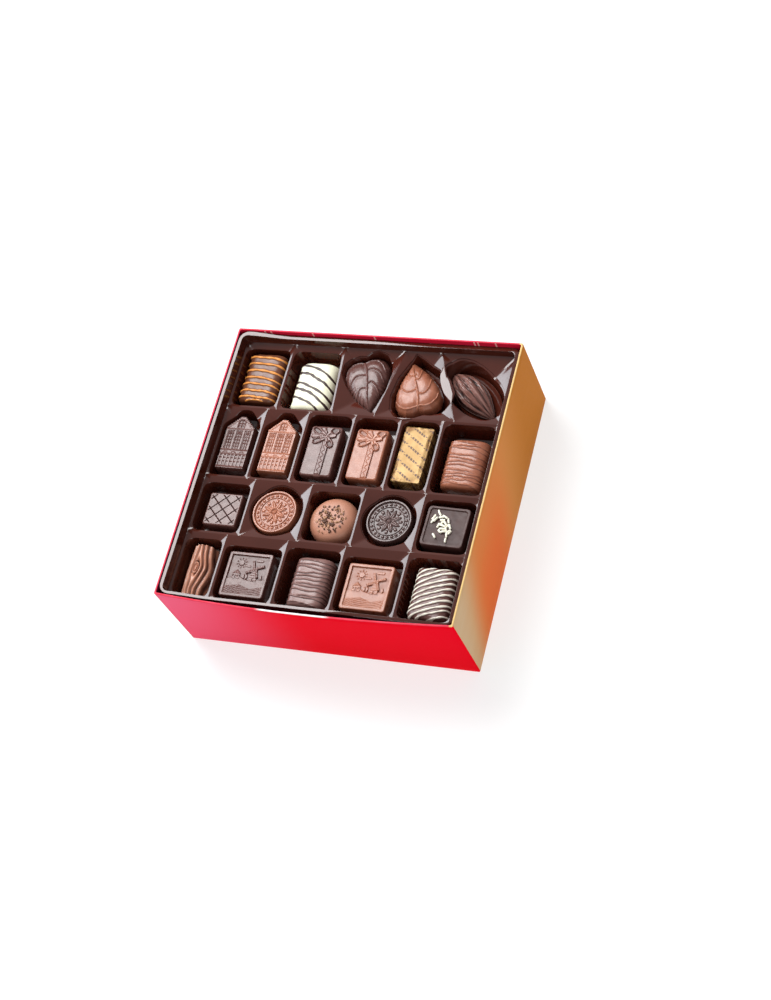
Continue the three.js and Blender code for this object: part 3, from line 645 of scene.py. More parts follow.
def trayPlan():
    # The places along every crest, shared by the cells on both of its sides
    left, right, lines, walls = tray["left"], tray["right"], tray["lines"], tray["walls"]
    along = []
    for k in range(len(lines)):
        meetings = [wall[1] for wall in walls[k - 1]] if k > 0 else []
        meetings += [wall[0] for wall in walls[k]] if k < len(walls) else []
        along.append(crestPlaces(left, right, meetings))
    across = [crestPlaces(front, back) for back, front in zip(lines[:-1], lines[1:])]
    edges = [[(left, left), *row, (right, right)] for row in walls]
    return along, across, edges


def placesBetween(places, low, high):
    return places[(places >= low - 1e-6) & (places <= high + 1e-6)]


def cellCrest(row, column, plan):
    # A cell's four corners, and its crest's four sides, counter-clockwise from its front left
    along, across, edges = plan
    (leftBack, leftFront), (rightBack, rightFront) = edges[row][column], edges[row][column + 1]
    back, front = tray["lines"][row], tray["lines"][row + 1]
    corners = np.array([(leftFront, front), (rightFront, front), (rightBack, back), (leftBack, back)])
    frontX = placesBetween(along[row + 1], leftFront, rightFront)
    backX = placesBetween(along[row], leftBack, rightBack)
    y = across[row]
    rise = (y - front) / (back - front)
    sides = [
        np.stack([frontX, np.full(len(frontX), front)], axis=1),
        np.stack([rightFront + (rightBack - rightFront) * rise, y], axis=1),
        np.stack([backX, np.full(len(backX), back)], axis=1)[::-1],
        np.stack([leftFront + (leftBack - leftFront) * rise, y], axis=1)[::-1],
    ]
    return corners, [side[:-1] for side in sides]


def crestFall(points, corners):
    # How far a funnel of four planes has fallen at each point: gently at first, then steeply, by the softly
    # smallest of its distances to the four crests
    following = np.roll(corners, -1, axis=0)
    way = (following - corners) / np.hypot(*(following - corners).T)[:, None]
    gap = points[..., None, :] - corners
    away = way[:, 0] * gap[..., 1] - way[:, 1] * gap[..., 0]
    soft = 0.25
    nearest = -soft * np.log(np.exp(-np.clip(away, -5, 40) / soft).sum(-1))
    run = np.maximum(nearest, 0)
    beyond = run - tray["browWidth"]
    beyond = (beyond + np.sqrt(beyond**2 + 0.3**2)) / 2
    steep, gentle = (np.tan(np.radians(tray[key])) for key in ("slope", "brow"))
    return gentle * run + (steep - gentle) * np.minimum(beyond, tray["shelf"]), away


def pocketArc(outline, corners, sides):
    # The mouth's outline cut where it faces the cell's corners, each stretch spaced as its side of the crest
    _, away = crestFall(outline, corners)
    cuts = []
    for k in range(4):
        reach = np.hypot(*(outline - corners[k]).T)
        cuts.append((np.abs(away[:, k] - away[:, k - 1]) + 0.15 * reach).argmin())
    ring, count, arc = np.vstack([outline, outline[:1]]), len(outline), []
    for k, side in enumerate(sides):
        first, last = cuts[k], cuts[(k + 1) % 4]
        steps = (last - first) % count
        whole = np.vstack([side, corners[(k + 1) % 4][None]])
        share = np.hypot(*(whole - whole[0]).T)
        at = (first + steps * share[:-1] / share[-1]) % count
        arc += [np.stack([np.interp(at, np.arange(count + 1), ring[:, axis]) for axis in (0, 1)], axis=1)]
    return np.vstack(arc)


def cellSheet(row, column, pocket, plan):
    # From the crest down the slopes, round the mouth, down the wall and a rising edge to the pocket's floor
    corners, sides = cellCrest(row, column, plan)
    crest = np.vstack(sides)
    outline = pocketOutline(pocket, corners)
    low, high = outline.min(0), outline.max(0)
    middle, size = (low + high) / 2, high - low
    mouth = pocketArc(outline, corners, sides)
    deck, turn = tray["deck"], pocket.get("turn", 0)
    slant, rise, seat = (pocket.get(key, tray[key]) for key in ("draft", "rise", "seat"))
    floor = tray["pralineTop"] - pocket["height"] - tray["gap"]
    rows = []

    def addRow(place, level):
        rows.append(np.column_stack([place, level + np.zeros(len(crest))]))

    def inward(distance):
        return middle + (mouth - middle) * (1 - 2 * distance / size)

    # Down the funnel: three rows close to the crest, each at most a share of the way down, then two more
    addRow(crest, deck)
    start = inward(-0.45)
    length = np.hypot(*(start - crest).T)[:, None]
    near = [np.minimum(gap / length, share) for gap, share in ((0.3, 0.15), (0.6, 0.3), (1.1, 0.45))]
    for part in near + [(1 + near[-1]) / 2, 1]:
        place = crest + (start - crest) * part
        addRow(place, deck - crestFall(place, corners)[0])
    lipLevel = rows[-1][:, 2]
    for inset, drop in ((-0.2, 0.1), (-0.03, 0.35), (0.0, 0.8)):
        addRow(inward(inset), lipLevel - drop)
    # Down the wall: in narrow terraces round a leaf or the pod, and with fine upright ribs elsewhere
    terraced = "leaf" in pocket or "almond" in pocket
    ribs = 0 if terraced else 0.1 * (-1.0) ** np.arange(len(crest))
    shares = np.linspace(0.04, 1, 7 if terraced else 3)
    for k, share in enumerate(shares):
        level = lipLevel - 0.8 - (lipLevel - 0.8 - floor - tray["rise"] - 0.9) * share
        draft = slant * (1 - (level - floor) / (deck + 1 - floor))
        ledge = 0.22 * (k % 2) if terraced and k < len(shares) - 1 else 0
        addRow(inward((draft + ledge + ribs)[:, None]), level)
    for inset, share in ((0.12, 1.25), (0.35, 1.0)):
        addRow(inward(slant + inset), floor + rise * share)
    # The seat: the mouth's shape made smaller, under the praline that stands on it
    seatMiddle = middle
    if "under" in pocket:
        seatMiddle = np.mean([corner[:2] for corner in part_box(pocket["under"])], axis=0) / mm
    seatShape = turnedXY(turnedXY((mouth - middle) * (1 - 2 * (slant + 0.35) / size), -turn) * seat, turn)
    for share in (1, 0.5, 0):
        addRow(seatMiddle + seatShape * share, floor)
    return {"points": np.array(rows), "closed": True}


def borderSheet(plan):
    # From the outermost crests up the step, over the lip and down the skirt inside the carton. The lip leans
    # outwards on the right half and stands higher on the left
    along, across, _ = plan
    left, right, back, front = tray["left"], tray["right"], tray["lines"][0], tray["lines"][-1]
    deck, lip, foot = tray["deck"], tray["lip"], tray["foot"]
    up = np.concatenate([places[:-1] for places in across[::-1]])
    down = np.concatenate([places[::-1][:-1] for places in across])
    x = [along[-1][:-1], np.full(len(up), right), along[0][::-1][:-1], np.full(len(down), left)]
    y = [np.full(len(x[0]), front), up, np.full(len(x[2]), back), down]
    edge = np.column_stack([np.concatenate(x), np.concatenate(y)])
    inner = np.array([[left, front], [right, back]])
    outer = np.array([[-1], [1]]) * tray["outer"]
    rows = [np.column_stack([edge, np.full(len(edge), deck)])]

    def addRing(box, out, radius, level):
        # The edge stretched onto a rounded box, which stands out by the given distance
        low, high = box[0] - out, box[1] + out
        place = low + (edge - inner[0]) / (inner[1] - inner[0]) * (high - low)
        core = np.clip(place, low + radius, high - radius)
        reach = np.maximum(np.hypot(*(place - core).T), 1e-9)[:, None]
        rows.append(np.column_stack([core + (place - core) / reach * radius, np.full(len(edge), level)]))

    for out, radius, level in (
        (0.1, 0.5, deck + 0.3), (0.35, 3.2, lip - 1.0), (0.4, 3.6, lip - 0.3), (0.5, 4, lip - 0.02),
        (0.6, 4, lip),
    ):
        addRing(inner, out, radius, level)
    for inset, radius, level in (
        (0.34, 6.6, lip), (0.26, 6.8, lip), (0.16, 6.8, lip - 0.05), (0.06, 6.95, lip - 0.2),
        (0, 7, lip - 0.6), (0, 7, lip / 2), (0, 7, foot),
    ):
        addRing(outer, -inset, radius, level)
    points = np.array(rows)
    outerX, outerY = tray["outer"]
    raised = smoothStep(lip - 0.5, lip - 0.1, points[..., 2])
    rightness = np.clip((points[..., 0] - right - 0.5) / (outerX - right - 0.5), 0, 1)
    points[..., 2] -= tray["rightLean"] * raised * rightness
    beyond = np.maximum(front - points[..., 1], points[..., 1] - back) - 0.5
    endness = np.clip(beyond / (outerY + front - 0.5), 0, 1) * smoothStep(-10, 40, points[..., 0])
    points[..., 2] -= tray["endLean"] * raised * endness
    leftness = smoothStep(-60, left - 0.6, points[..., 0])
    points[..., 2] += tray["leftRaise"] * leftness * smoothStep(deck + 0.3, lip - 1, points[..., 2])
    return {"points": points, "closed": True}


def trayFinish():
    # Thin dark brown sheet with a high gloss, a little uneven where it was drawn over its mould
    look = Finish("tray_plastic", IOR=1.55, Specular_IOR_Level=0.48)
    look.set(Base_Color=look.blend(look.noise(25), tint(62, 25, 16), tint(80, 34, 23)))
    look.set(Roughness=look.noise(80).above(0.3, 0.8) * 0.06 + 0.07)
    uneven = look.noise(45, detail=1.0) * 0.7 + look.noise(400, detail=2.0) * 0.03
    look.set(Normal=look.bump(uneven, 0.001, 0.1))
    return look.material


def makeTray():
    plan = trayPlan()
    sheets = [cellSheet(r, c, pocket, plan) for r, row in enumerate(pockets) for c, pocket in enumerate(row)]
    sheets.append(borderSheet(plan))
    piece = makePiece("formed_tray", sheets, [trayFinish()], "tray", sharp=26, closed=False)
    wall = piece.modifiers.new("sheet", "SOLIDIFY")
    wall.thickness, wall.offset = tray["thickness"] * mm, -1
    print("tray made,", len(piece.data.polygons), "faces")


makeTray()

# Chocolate

# Each chocolate: its own colour, a pale colour for bloom and painted highlights, a deep one for painted
# shade, roughness
chocolates = {
    "dark": {"shade": (86, 51, 45), "paleTone": (124, 86, 80), "deep": (22, 9, 7), "rough": 0.27},
    "black": {"shade": (66, 44, 41), "paleTone": (108, 82, 78), "deep": (14, 7, 6), "rough": 0.26},
    "glaze": {"shade": (62, 34, 30), "paleTone": (96, 64, 58), "deep": (20, 9, 7), "rough": 0.5},
    "greyed": {"shade": (118, 82, 76), "paleTone": (152, 118, 112), "deep": (36, 18, 15), "rough": 0.3},
    "pod": {"shade": (112, 70, 60), "paleTone": (156, 118, 110), "deep": (38, 18, 14), "rough": 0.25},
    "bark": {"shade": (168, 108, 84), "paleTone": (204, 144, 118), "deep": (66, 30, 20), "rough": 0.27},
    "milk": {"shade": (146, 85, 61), "paleTone": (186, 122, 95), "deep": (70, 29, 16), "rough": 0.29},
    "matt": {"shade": (172, 116, 92), "paleTone": (190, 136, 112), "deep": (84, 42, 24), "rough": 0.46},
    "amber": {"shade": (94, 52, 33), "paleTone": (124, 78, 56), "deep": (44, 20, 11), "rough": 0.32},
    "white": {"shade": (240, 236, 206), "paleTone": (248, 246, 226), "deep": (196, 188, 132), "rough": 0.36},
}


def chocolateFinish(name, kind, paint=None):
    # Set chocolate: painted shade in its hollows, a painted highlight along its raised edges, a faint bloom
    # and fine pits
    colours = chocolates[kind]
    look = Finish(name, IOR=1.47, Specular_IOR_Level=0.5)
    tone = look.layer("tone")
    body = look.blend(look.noise(130).above(0.3, 0.7) * 0.35, tint(*colours["shade"]), tint(*colours["paleTone"]))
    # Painted shade: the deep colour where the tone layer marks a hollow
    body = look.blend((0 - tone).above(0.05, 0.9), body, tint(*colours["deep"]))
    # Painted highlight: the pale colour where the tone layer marks a raised part
    body = look.blend(tone.above(0.1, 1.0) * 0.7, body, tint(*colours["paleTone"]))
    if paint:
        body = look.blend(look.layer("paint").above(0.42, 0.58), body, tint(*paint))
    look.set(Base_Color=body)
    hollow = (0 - tone).above(0.05, 0.8)
    look.set(Roughness=look.noise(300).above(0.25, 0.8) * 0.12 + colours["rough"] - 0.04 + hollow * 0.3)
    grain = look.noise(190, detail=2.0) * 0.32 + look.noise(1500, detail=2.0) * 0.1
    look.set(Normal=look.bump(grain, 0.0004, 0.3))
    return look.material


def pressedSheet(outline, profile, relief, rings=60, bunched=False):
    # A square grid of points whose rings become copies of the outline: the inner ones are the top face,
    # shrunk towards the middle, the next follow the profile down the side, and the last closes the underside
    inset, level = np.array(profile, float).T
    half = (outline.max(0) - outline.min(0)) / 2
    total = rings + len(profile)
    steps = np.arange(-total, total + 1)
    i, k = np.meshgrid(steps, steps, indexing="ij")
    ring = np.maximum(np.abs(i), np.abs(k))
    bearing = np.arctan2(k / np.maximum(ring, 1) * half[1], i / np.maximum(ring, 1) * half[0])
    reach = reachOf(outline, bearing)
    inner = np.arange(rings + 1) / rings
    if bunched:
        inner = np.sin(inner * np.pi / 2)
    share = np.concatenate([inner, np.ones(len(profile) - 1), [0]])[ring]
    insets = np.concatenate([np.full(rings + 1, inset[0]), inset[1:], [0]])[ring]
    levels = np.concatenate([np.full(rings + 1, level[0]), level[1:], [0]])[ring]
    x = reach * np.cos(bearing) * (1 - insets / half[0]) * share
    y = reach * np.sin(bearing) * (1 - insets / half[1]) * share
    rise, tone = relief(x, y, share)
    top = ring <= rings
    return sheetOf(x, y, levels + np.where(top, rise, 0), tone=np.where(top, tone, 0))


def edgeProfile(height, roundness=0.9, draft=0.7, foot=0.2):
    # The top edge as a quarter circle, then the slanting side, and a small step in at the foot
    turn = np.linspace(0, np.pi / 2, 6)
    edge = [(draft + roundness * (1 - np.sin(t)), height - roundness * (1 - np.cos(t))) for t in turn]
    return edge + [(draft * 0.5, height * 0.5), (0, 1), (foot, 0)]


def blockOutline(form):
    halfX, halfY = form["width"] / 2, form["length"] / 2
    return roundedCorners(rectangle(-halfX, halfX, -halfY, halfY), form["corner"])


def makeMoulded(name, sheet, kind, node=None, turn=0, sharp=50, start="moulded_"):
    # A praline of one sheet and one chocolate, which bears its node's name unless another is given
    node = node or name
    finish = chocolateFinish(name + "_chocolate", kind)
    makePiece(start + name, settled([sheet], node, turn), [finish], node, sharp)


# Enrobed logs


def logLoop(width, height, power, around):
    # Once round the section: a boxy arch that draws in below its belly to the foot
    belly, footInset = 2, 1.2
    turn = np.linspace(np.pi, 0, 400)
    x = width / 2 * np.sign(np.cos(turn)) * np.abs(np.cos(turn)) ** (2 / power)
    z = belly + (height - belly) * np.abs(np.sin(turn)) ** (2 / power)
    foot = width / 2 - footInset
    x = np.concatenate([x, [width / 2 - 0.3, foot, -foot, 0.3 - width / 2]])
    z = np.concatenate([z, [0.9, 0, 0, 0.9]])
    return evenly(np.stack([x, z], axis=1), around)


def logSheet(form, drizzle):
    # The section carried along the log: from the middle of one end out, round its edge, along, and in again
    width, length, height, edge = form["width"], form["length"], form["height"], form.get("edge", 3)
    around, rows, dome = 120, 150, 0.25
    loop, half = logLoop(width, height, form["power"], around), length / 2
    cap = np.linspace(0, 1, 7)[:-1]
    turn = np.linspace(0, np.pi / 2, 9)
    body = np.linspace(edge - half, half - edge, rows)[1:-1]
    end = np.concatenate([dome * cap**2 - half, dome - half + (edge - dome) * (1 - np.cos(turn))])
    inset = np.concatenate([np.full(len(cap), edge), edge * (1 - np.sin(turn))])
    share = np.concatenate([cap, np.ones(len(turn))])
    y = np.concatenate([end, body, -end[::-1]])[:, None]
    inset = np.concatenate([inset, np.zeros(len(body)), inset[::-1]])[:, None]
    share = np.concatenate([share, np.ones(len(body)), share[::-1]])[:, None]
    x = loop[:, 0] * (1 - inset / (width / 2)) * share
    middle = height * 0.42
    z = middle + (loop[:, 1] * (1 - inset / height) - middle) * share
    y = y + 0 * x
    uneven = 0.22 * smoothNoise(y + 40, loop[:, 0] + loop[:, 1] * 2 + 40, 7, form["seed"]) - 0.22
    high, paint, tone = drizzle(x, y)
    lift = (form["swell"] * high + uneven) * share * smoothStep(0, 1.2, z)
    away = np.stack([loop[:, 0], loop[:, 1] - height * 0.45], axis=1)
    away = away / np.maximum(np.hypot(*away.T), 1e-6)[:, None]
    return sheetOf(x + lift * away[:, 0], y, z + lift * away[:, 1], closed=True, tone=tone, paint=paint)


def drizzleLines(x, y, places, slants, halves, wave, seed):
    # The highest rib at each point, over all lines: each with its own place, slant, width and slow wave
    random = np.random.default_rng(seed)
    phases, pitches = random.uniform(0, 6, len(places)), random.uniform(0.12, 0.3, len(places))
    ribs = []
    for at, slant, half, phase, pitch in zip(places, slants, halves, phases, pitches):
        gap = y - at - slant * x - wave * np.sin(pitch * x * 2 + phase)
        ribs.append(rib(gap, half * (1 + 0.2 * np.sin(pitch * x * 5 + phase))))
    return np.max(ribs, axis=0)


orangeLog = {
    "width": 27.6, "length": 38, "height": 17, "swell": 0.85, "power": 4.6, "seed": 4, "lines": 7,
    "lineSeed": 21, "waveSeed": 7,
}


def makeOrangeLog():
    form = orangeLog
    reach = form["length"] / 2 - 3.6
    random = np.random.default_rng(form["lineSeed"])
    places = np.linspace(-reach, reach, form["lines"]) + random.uniform(-0.3, 0.3, form["lines"])
    slants, halves = random.uniform(-0.03, 0.01, form["lines"]), random.uniform(1.15, 1.4, form["lines"])

    def drizzle(x, y):
        sag = 0.006 * (x + form["width"] / 4) ** 2 * (1 - (y / 19) ** 2)
        high = drizzleLines(x, y + sag, places, slants, halves, 0.15, form["waveSeed"])
        foot = rib(y + 17.3 + 0.02 * x**2, 0.8) * softBand(x, -7, 6, 1)
        return np.maximum(high, foot * 0.7), np.maximum(high, foot), 0 * x

    finish = chocolateFinish("orange_striped_chocolate", "amber", paint=(230, 150, 72))
    sheets = settled([logSheet(form, drizzle)], "orange_striped_log")
    makePiece("orange_log", sheets, [finish], "orange_striped_log")


whiteLog = {
    "width": 29.4, "length": 37.2, "height": 17.2, "swell": 0.45, "power": 3.4, "edge": 4.2, "seed": 9,
    "bend": -0.012, "waveSeed": 3,
    "places": np.array([-13.2, -6.3, -1.6, 6.2, 12.6]), "slants": np.array([-0.52, -0.5, -0.44, -0.46, -0.4]),
    "halves": np.array([1.7, 2.0, 1.8, 2.0, 1.7]),
}


def makeWhiteLog():
    lines = [whiteLog[key] for key in ("places", "slants", "halves")]

    def drizzle(x, y):
        high = drizzleLines(x, y - whiteLog["bend"] * x**2, *lines, 0.3, whiteLog["waveSeed"])
        return high, high, 0 * x

    finish = chocolateFinish("dark_striped_white_chocolate", "white", paint=(54, 30, 26))
    sheets = settled([logSheet(whiteLog, drizzle)], "white_striped_log")
    makePiece("white_log", sheets, [finish], "white_striped_log")


ribbedLogs = {
    "milk_ribbed_log": {
        "width": 28.2, "length": 35, "height": 17, "swell": 0.42, "power": 4.2, "seed": 5, "lines": 12,
        "kind": "milk", "slot": "milk_chocolate", "slant": -0.05, "sag": 0.004,
    },
    "dark_ribbed_log": {
        "width": 26.4, "length": 34.6, "height": 17, "swell": 0.42, "power": 4.2, "seed": 8, "lines": 12,
        "kind": "greyed", "slot": "dark_chocolate", "slant": -0.06, "sag": -0.002,
    },
}


def makeRibbedLog(name):
    # Fine lines of the same chocolate, thrown on from side to side, some of them crossing
    form = ribbedLogs[name]
    random = np.random.default_rng(form["seed"])
    reach = form["length"] / 2 - 2.5
    places = np.linspace(-reach, reach, form["lines"]) + random.uniform(-1.0, 1.0, form["lines"])
    slants = form["slant"] + random.uniform(-0.1, 0.1, form["lines"])
    halves = random.uniform(0.5, 1.0, form["lines"])

    def drizzle(x, y):
        sag, lines = form["sag"] * (x + 5) ** 2, (places, slants, halves, 0.3, form["seed"])
        # Painted shadow: the lines moved a little aside darken the chocolate beside each line; the lines get
        # a painted highlight
        high, paintedShadow = (drizzleLines(x, y + aside + sag, *lines) for aside in (0, 0.55))
        return high, 0 * x, 0.4 * high - 0.75 * paintedShadow * (1 - high)

    makeMoulded(name, logSheet(form, drizzle), form["kind"], sharp=35, start="fine_")


stripedDarkLog = {
    "width": 27.2, "length": 35.4, "height": 17, "swell": 0.75, "power": 4.4, "seed": 12, "lines": 13,
    "slant": 0.42, "bend": -0.006, "lineSeed": 33, "waveSeed": 6,
}


def makeStripedDarkLog():
    form = stripedDarkLog
    random = np.random.default_rng(form["lineSeed"])
    places = np.linspace(-22, 22, form["lines"]) + random.uniform(-0.35, 0.35, form["lines"])
    slants = form["slant"] + random.uniform(-0.02, 0.02, form["lines"])
    halves = random.uniform(1.1, 1.35, form["lines"])

    def drizzle(x, y):
        high = drizzleLines(x, y - form["bend"] * x**2, places, slants, halves, 0.15, form["waveSeed"])
        return high, high, 0 * x

    finish = chocolateFinish("white_striped_chocolate", "dark", paint=(238, 230, 214))
    sheets = settled([logSheet(form, drizzle)], "white_striped_dark_log")
    makePiece("striped_dark_log", sheets, [finish], "white_striped_dark_log")


# Leaves

leaves = {
    "dark_leaf": {
        "width": 32.2, "length": 44.6, "height": 13.5, "rim": 4.5, "turn": 19, "kind": "dark",
        "starts": (0.4, 0.19, -0.04), "reach": (0.42, 0.36, 0.24), "bend": 0.04, "saw": 0.85,
    },
    "milk_leaf": {
        "width": 32.2, "length": 41, "height": 13.5, "rim": 4.5, "turn": 198.2, "kind": "milk",
        "starts": (0.37, 0.12, -0.16), "reach": (0.46, 0.33, 0.17), "bend": -0.04, "saw": 0.5,
    },
}
leafTeeth = 13


def leafVeins(form):
    # The middle vein from notch to tip, and the side veins, which leave it and sweep out towards the tip
    size, bend = (form["width"], form["length"]), form["bend"]
    middle = np.array([(-bend * 0.3, 0.43), (bend, 0.2), (bend * 0.2, -0.1), (-bend * 0.8, -0.47)]) * size
    sides = []
    for side in (-1, 1):
        for k, (start, reach) in enumerate(zip(form["starts"], form["reach"])):
            start = start + bend * side * (k > 0)
            out = side * reach
            way = [(bend * 0.8, start), (out * 0.5, start + 0.015), (out * 0.86, start - 0.08)]
            way.append((out * 1.02, start - 0.24))
            sides.append(smoothPath(np.array(way) * size, 16))
    return smoothPath(middle, 30), sides


def makeLeaf(name):
    # A domed leaf with a bent middle vein, curved side veins, swellings between them and a saw edge
    form = leaves[name]
    width, length, height = form["width"], form["length"], form["height"]
    outline = leafOutline(width, length)
    angle = np.arctan2(outline[:, 0], -outline[:, 1])
    saw = form["saw"] * ((np.abs(angle) * leafTeeth / np.pi) % 1) * smoothStep(2.0, 1.0, np.abs(angle))
    outline = outline * (1 - saw / np.hypot(*outline.T))[:, None]
    middleVein, sideVeins = leafVeins(form)

    def relief(x, y, share):
        fall = (height - form["rim"]) * ((1 - np.minimum(share, 1) ** 4.2) ** 0.45 - 1)
        gap, along = distanceTo(x, y, middleVein)
        vein = rib(gap, 1.1 - 0.35 * along) * 0.8
        nearest = gap
        for path in sideVeins:
            gap, along = distanceTo(x, y, path)
            vein = np.maximum(vein, rib(gap, 0.85 - 0.2 * along) * 0.6)
            nearest = np.minimum(nearest, gap)
        pillow = smoothStep(0.4, 3.6, nearest) * 0.22
        inside = smoothStep(1.0, 0.86, share)
        edge = smoothStep(0.7, 0.9, share) * smoothStep(1.0, 0.93, share)
        bumps = 0.3 * np.sin(np.arctan2(x, -y) * leafTeeth) * edge
        bumps = bumps * smoothStep(0.05 * length, -0.15 * length, y)
        rise = (vein + pillow + bumps) * inside - 0.6
        # Painted highlight on the veins and swellings, and painted shade in the furrows beside the veins
        return fall + rise, np.clip(vein * 1.3 + pillow * 1.2 - 0.3, -1, 1) * inside

    profile = [(0, height), (0.1, form["rim"] * 0.75), (0.7, form["rim"] * 0.4), (1.7, 0.4), (2.1, 0)]
    sheet = pressedSheet(outline, profile, relief, rings=80, bunched=True)
    makeMoulded(name, sheet, form["kind"], turn=form["turn"], sharp=35)


# Cocoa pod

pod = {"width": 19, "length": 47.5, "height": 14, "turn": 48, "ribs": 5, "rows": 150, "columns": 121}


def makePod():
    # A half spindle with a pointed tip: blunt ribs along it, and rough grain between them
    width, length, height, ribs = pod["width"], pod["length"], pod["height"], pod["ribs"]
    share = np.linspace(0.03, 0.97, pod["rows"])[:, None]
    arch = np.linspace(0, np.pi, pod["columns"])
    girth = np.sin(np.pi * share**1.1) ** 0.8
    wander = 0.12 * np.sin(share * 5)
    ridge = 1 + 0.055 * np.cos(2 * ribs * (arch + wander)) - 0.01
    grain = smoothNoise(share * 7 + 3, arch * 24 + 2 * wander, 1, 17) * 0.026
    grain = grain + smoothNoise(share * 26, arch * 30 + 0 * share, 1, 18) * 0.016
    swell = ridge + grain * np.sin(arch)
    x = -width / 2 * girth * swell * np.cos(arch)
    z = height * (0.12 + 0.88 * np.sin(arch) * girth * swell)
    foot = width / 2 * girth * 0.8
    x = np.concatenate([x, foot, -foot], axis=1)
    z = np.concatenate([z * 0.985, 0 * foot, 0 * foot], axis=1)
    y = length * (share - 0.5) + 0 * x
    # Painted highlight on the ribs and grain bumps, and painted shade between them
    tone = np.concatenate([(ridge - 1) * 8 + grain * 26 + 0 * share, 0 * foot, 0 * foot], axis=1)
    ends = [np.array([[[0, y[k, 0], height * 0.1]]]) for k in (0, -1)]
    points = np.stack([x, y, z], axis=-1)
    count = points.shape[1]
    points = np.concatenate([np.repeat(ends[0], count, 1), points, np.repeat(ends[1], count, 1)])
    tone = np.vstack([tone[:1], tone, tone[-1:]])
    sheet = {"points": points, "closed": True, "tone": np.clip(tone, -1, 1)}
    makeMoulded("pod", sheet, "pod", "cocoa_pod", pod["turn"], sharp=35)


# Gabled houses

house = {"width": 19.6, "length": 38.4, "height": 13, "steps": 8, "eave": 0.27, "peakHalf": 0.055}


def houseOutline():
    # Straight walls, then the gable's steps up to a narrow peak: each a short riser and a short tread
    half, end = house["width"] / 2, house["length"] / 2
    eave, steps = house["eave"] * house["length"], house["steps"]
    rise, run = (end - eave) / steps, (half - house["peakHalf"] * house["width"]) / steps
    right = [(half, -end)]
    for k in range(steps):
        x, y = half - run * k, eave + rise * k
        right += [(x, y), (x, y + rise * 0.9), (x - run * 0.08, y + rise), (x - run, y + rise)]
    right = np.array(right)
    return evenly(np.vstack([right, right[::-1] * (-1, 1)]), 2400)


def houseRelief(x, y, share):
    # Three tall windows of small panes over arches and a row of narrow doors, and a barred gable window
    length, half = house["length"], house["width"] / 2
    eave = house["eave"] * length
    top, foot = eave - 1.5, -0.13 * length
    high, low = 0 * x, 0 * x
    bay = (2 * half - 1.6) / 3
    for k in range(3):
        middle = -half + 0.8 + bay * (k + 0.5)
        window = softBox(x, y, middle - bay * 0.4, middle + bay * 0.4, foot, top, 0.1)
        columns = np.max([rib(x - middle - bay * 0.27 * n, 0.34) for n in (-1, 0, 1)], axis=0)
        rows = np.max([rib(y - foot - (top - foot) * n / 6, 0.34) for n in range(1, 6)], axis=0)
        head = rib(np.hypot(x - middle, (y - top + 2.4) * 0.9) - 1.3, 0.4) * (y > top - 3)
        bars = np.max([columns * 0.9, rows, head], axis=0)
        low = np.maximum(low, window * (1 - 0.9 * bars))
        arch = rib(np.hypot(x - middle, (y - foot + 3.4) * 1.1) - 1.5, 0.45) * (y > foot - 3.6)
        high = np.maximum(high, arch * 0.7)
    doors = np.abs((x + half * 0.96) % (half * 1.92 / 7) - half * 0.96 / 7)
    lower = smoothStep(half * 0.09, half * 0.075, doors) * softBand(y, -0.455 * length, -0.25 * length, 0.2)
    crossing = np.max([rib(y + length * at, 0.4) for at in (0.3, 0.37)], axis=0)
    low = np.maximum(low, lower * (1 - 0.85 * crossing))
    bands = ((eave - 0.4, 0.55), (foot - 0.8, 0.45), (-0.225 * length, 0.5), (-0.475 * length, 0.5))
    for line, width in bands:
        high = np.maximum(high, rib(y - line, width) * 0.8)
    gable = np.hypot(x / 2.1, np.maximum(y - eave - 4.6, 0) / 1.8)
    above = smoothStep(eave + 0.5, eave + 0.7, y)
    window = smoothStep(1.05, 0.9, gable) * above
    frame = rib(gable - 1.2, 0.22) * above
    bars = np.max([rib(x, 0.36), rib(y - eave - 2.2, 0.3), rib(y - eave - 3.9, 0.3)], axis=0)
    low = np.maximum(low, window * (1 - 0.85 * bars))
    high = np.maximum(high, frame * 0.7)
    stepped = smoothStep(0.9, 0.93, share) * smoothStep(0.995, 0.97, share) * (y > eave)
    high = np.maximum(high, stepped * 0.7)
    rise = 0.35 * high - 0.4 * low - 0.1
    # Painted highlight on the raised bars and bands, and painted shade in the sunk windows and doors
    return rise, np.clip(high * 0.7 - low * 0.45 + 0.2, -1, 1)


def makeHouse(name, kind):
    height = house["height"]
    profile = [
        (0.15, height), (0.05, height - 0.06), (0, height - 0.2), (-0.2, height * 0.7), (-0.5, height * 0.35),
        (-0.8, 1.5), (-0.9, 0.3), (-0.6, 0),
    ]
    sheet = pressedSheet(houseOutline(), profile, houseRelief, rings=96)
    makeMoulded(name, sheet, kind)


# Gift parcels

# Each loop of the bow: the bearing that it points to, its length, half its width and how hollow it is
parcel = {
    "width": 22.4, "length": 37.4, "height": 14, "corner": 2.2, "ribbonX": 1.6, "ribbon": 4.2, "knotY": 0.27,
    "loops": [
        (122, 11.2, 2.2, 0.4), (150, 12.8, 3.1, 0.9), (178, 11.6, 2.3, 0.2), (205, 10.4, 2.8, 0.8),
        (47, 11.0, 4.1, 0.9), (14, 6.6, 1.5, 0.0), (301, 8.8, 3.3, 0.9),
    ],
}


